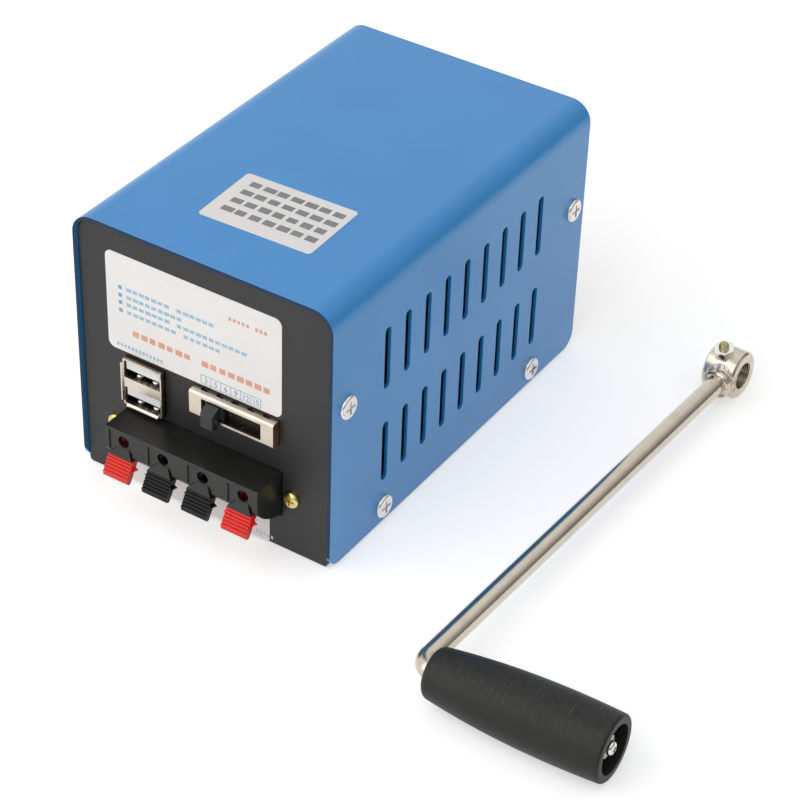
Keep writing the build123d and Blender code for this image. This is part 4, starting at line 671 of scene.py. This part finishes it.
def rod_line(distance):
    """A point on the rod's centre line, by its distance from the bore's middle."""
    centre, axis, _ = hub_bore()
    along, _, _ = rod_frame()
    return np.array(centre) - np.array(axis) * ROD_OFFSET + along * distance


OPERATORS = []


def operator(idname, label):
    """Marks a class as one of this file's operators."""
    def mark(cls):
        cls.bl_idname = idname
        cls.bl_label = label
        cls.bl_options = {"REGISTER", "UNDO"}
        OPERATORS.append(cls)
        return cls
    return mark


@operator("generator.finishes", "Finishes")
class GENERATOR_OT_finishes(bpy.types.Operator):
    """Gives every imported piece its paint, plastic or metal"""

    def execute(self, context):
        c = context.scene.generator_colours
        build_finishes(c)
        for name, tone in (("Blue ink", c.mark_blue), ("Pale ink", c.mark_pale), ("Scale ink", c.scale_blue),
                           ("Orange ink", c.mark_orange), ("Grey ink", c.mark_grey)):
            coated(name, tone, 120.0, 1600.0, 0.42, 0.1, 0.88, 0.04)
        plated("Weld metal", (0.60, 0.57, 0.53), stretch=(1000.0, 1000.0, 1000.0), stain=0.55,
               roughness=0.3, spread=0.35, strength=1.0, depth=0.0004)
        return {"FINISHED"}


@operator("generator.marks", "Printed marks")
class GENERATOR_OT_marks(bpy.types.Operator):
    """Puts plain bars on the stickers and numbers on the scale"""

    def execute(self, context):
        marks = context.scene.generator_marks
        make_front_marks(marks)
        make_top_marks(marks)
        make_low_marks(marks)
        make_scale(marks)
        return {"FINISHED"}


@operator("generator.weld", "Weld")
class GENERATOR_OT_weld(bpy.types.Operator):
    """Lays the uneven weld between the hub and the rod"""

    def execute(self, context):
        make_weld(context.scene.generator_metal)
        return {"FINISHED"}


@operator("generator.studio", "Studio")
class GENERATOR_OT_studio(bpy.types.Operator):
    """Sets the pale floor, the lamps, the surrounding light and the camera"""

    def execute(self, context):
        studio = context.scene.generator_studio
        make_floor(studio)
        make_sky(studio)
        make_key_lamp(studio)
        make_card(studio)
        make_camera(studio)
        context.scene.view_settings.view_transform = "Standard"
        return {"FINISHED"}


def make_floor(studio):
    """A wide pale floor that the camera and reflections see a little brighter than it is lit."""
    size = 3.0
    mesh = bpy.data.meshes.new("studio_floor")
    mesh.from_pydata([(-size, -size, 0), (size, -size, 0), (size, size, 0), (-size, size, 0)], [],
                     [(0, 1, 2, 3)])
    floor = bpy.data.objects.new("studio_floor", mesh)
    bpy.context.scene.collection.objects.link(floor)
    material, graph, shader = new_material("Floor", {"Roughness": 0.9, "Specular IOR Level": 0.1})
    grain = graph.noise(object_place(graph), 40.0)
    tone = graph.blend(grain, studio.floor_tone, shade(studio.floor_tone, 0.99))
    graph.feed(shader.inputs["Base Color"], tone)
    path = graph.add("ShaderNodeLightPath").outputs
    seen = graph.math("MAXIMUM", path["Is Camera Ray"], path["Is Glossy Ray"])
    glow = graph.add("ShaderNodeEmission", {"Color": (1.0, 1.0, 1.0),
                                            "Strength": graph.math("MULTIPLY", seen, FLOOR_GLOW)})
    both = graph.add("ShaderNodeAddShader", {0: shader.outputs[0], 1: glow.outputs[0]})
    out = next(n for n in material.node_tree.nodes if n.type == "OUTPUT_MATERIAL")
    graph.feed(out.inputs["Surface"], both.outputs[0])
    mesh.materials.append(material)


def make_sky(studio):
    """Even light all round; the camera and reflections see it as white."""
    world = bpy.data.worlds.new("studio_sky")
    bpy.context.scene.world = world
    world.use_nodes = True
    graph = Graph(world.node_tree)
    path = graph.add("ShaderNodeLightPath").outputs
    seen = graph.math("MAXIMUM", path["Is Camera Ray"], graph.math(
        "MAXIMUM", path["Is Glossy Ray"], path["Is Transmission Ray"]))
    background = world.node_tree.nodes["Background"]
    graph.feed(background.inputs["Strength"], graph.spread(seen, 0.0, 1.0, studio.sky, 1.0))
    background.inputs["Color"].default_value = (1.0, 1.0, 1.0, 1.0)


def make_key_lamp(studio):
    """One large soft lamp, high on the left in front of the case."""
    lamp = bpy.data.lights.new("key_lamp", "AREA")
    lamp.energy = studio.key_power
    lamp.size = LAMP_SIZE
    holder = bpy.data.objects.new("key_lamp", lamp)
    bpy.context.scene.collection.objects.link(holder)
    holder.location = LAMP_PLACE
    holder.rotation_euler = (-Vector(holder.location)).to_track_quat("-Z", "Y").to_euler()


def make_card(studio):
    """A round wall that only reflections see: dark on the right and near the table, clear above.

    A point at turn t and height z lies at (r cos t, r sin t, z).
    """
    radius, height = CARD_RADIUS, CARD_HEIGHT
    z, t = np.meshgrid(np.linspace(0.0, height, 3), np.linspace(0, 2 * np.pi, 96, endpoint=False),
                       indexing="ij")
    points = np.stack([radius * np.cos(t), radius * np.sin(t), z], -1)
    mesh = bpy.data.meshes.new("studio_card")
    mesh.from_pydata(points.reshape(-1, 3).tolist(), [], grid_faces(3, 96).tolist())
    card = bpy.data.objects.new("studio_card", mesh)
    bpy.context.scene.collection.objects.link(card)
    card.visible_camera = False
    card.visible_diffuse = False
    card.visible_shadow = False
    card.visible_transmission = False
    material = bpy.data.materials.new("Card")
    material.use_nodes = True
    material.node_tree.nodes.clear()
    graph = Graph(material.node_tree)
    place = graph.add("ShaderNodeSeparateXYZ", {0: object_place(graph)}).outputs
    low = graph.spread(place["Z"], 0.0, height * 0.95, 1.0, 0.0)
    side = graph.spread(place["X"], -0.5 * radius, 0.5 * radius)
    cover = graph.math("MULTIPLY", graph.math("MULTIPLY", low, side), studio.card_shade)
    dark = graph.add("ShaderNodeEmission", {"Color": studio.card_tone, "Strength": 1.0})
    clear = graph.add("ShaderNodeBsdfTransparent")
    both = graph.add("ShaderNodeMixShader", {0: cover, 1: clear.outputs[0], 2: dark.outputs[0]})
    graph.add("ShaderNodeOutputMaterial", {"Surface": both.outputs[0]})
    mesh.materials.append(material)


def make_camera(studio):
    """The camera looks at a point beside the case along azimuth and elevation, turned by its roll."""
    az, el, roll = studio.azimuth, studio.elevation, studio.roll
    back = Vector((sin(az) * cos(el), -cos(az) * cos(el), sin(el)))
    right = Vector((cos(az), sin(az), 0.0))
    up = back.cross(right)
    side = right * cos(roll) + up * sin(roll)
    top = -right * sin(roll) + up * cos(roll)
    data = bpy.data.cameras.new("camera")
    data.sensor_width = 36.0
    data.lens = studio.lens
    camera = bpy.data.objects.new("camera", data)
    bpy.context.scene.collection.objects.link(camera)
    place = Matrix((side, top, back)).transposed().to_4x4()
    place.translation = LOOK_AT + back * studio.distance
    camera.matrix_world = place
    bpy.context.scene.camera = camera


class GENERATOR_PT_panel(bpy.types.Panel):
    """Lists the operators and their settings."""
    bl_idname = "GENERATOR_PT_panel"
    bl_label = "Hand Crank Generator"
    bl_space_type = "VIEW_3D"
    bl_region_type = "UI"
    bl_category = "Generator"

    def draw(self, context):
        for cls in OPERATORS:
            self.layout.operator(cls.bl_idname)
        for name, group in SETTINGS.items():
            box = self.layout.box()
            for setting in group.__annotations__:
                box.prop(getattr(context.scene, name), setting)


CLASSES = (*SETTINGS.values(), *OPERATORS, GENERATOR_PT_panel)


def register():
    for cls in CLASSES:
        bpy.utils.register_class(cls)
    for name, group in SETTINGS.items():
        setattr(bpy.types.Scene, name, bpy.props.PointerProperty(type=group))


def unregister():
    for name in SETTINGS:
        delattr(bpy.types.Scene, name)
    for cls in reversed(CLASSES):
        bpy.utils.unregister_class(cls)


def main():
    register()
    bpy.ops.generator.finishes()
    bpy.ops.generator.marks()
    bpy.ops.generator.weld()
    bpy.ops.generator.studio()


if __name__ == "__main__":
    main()
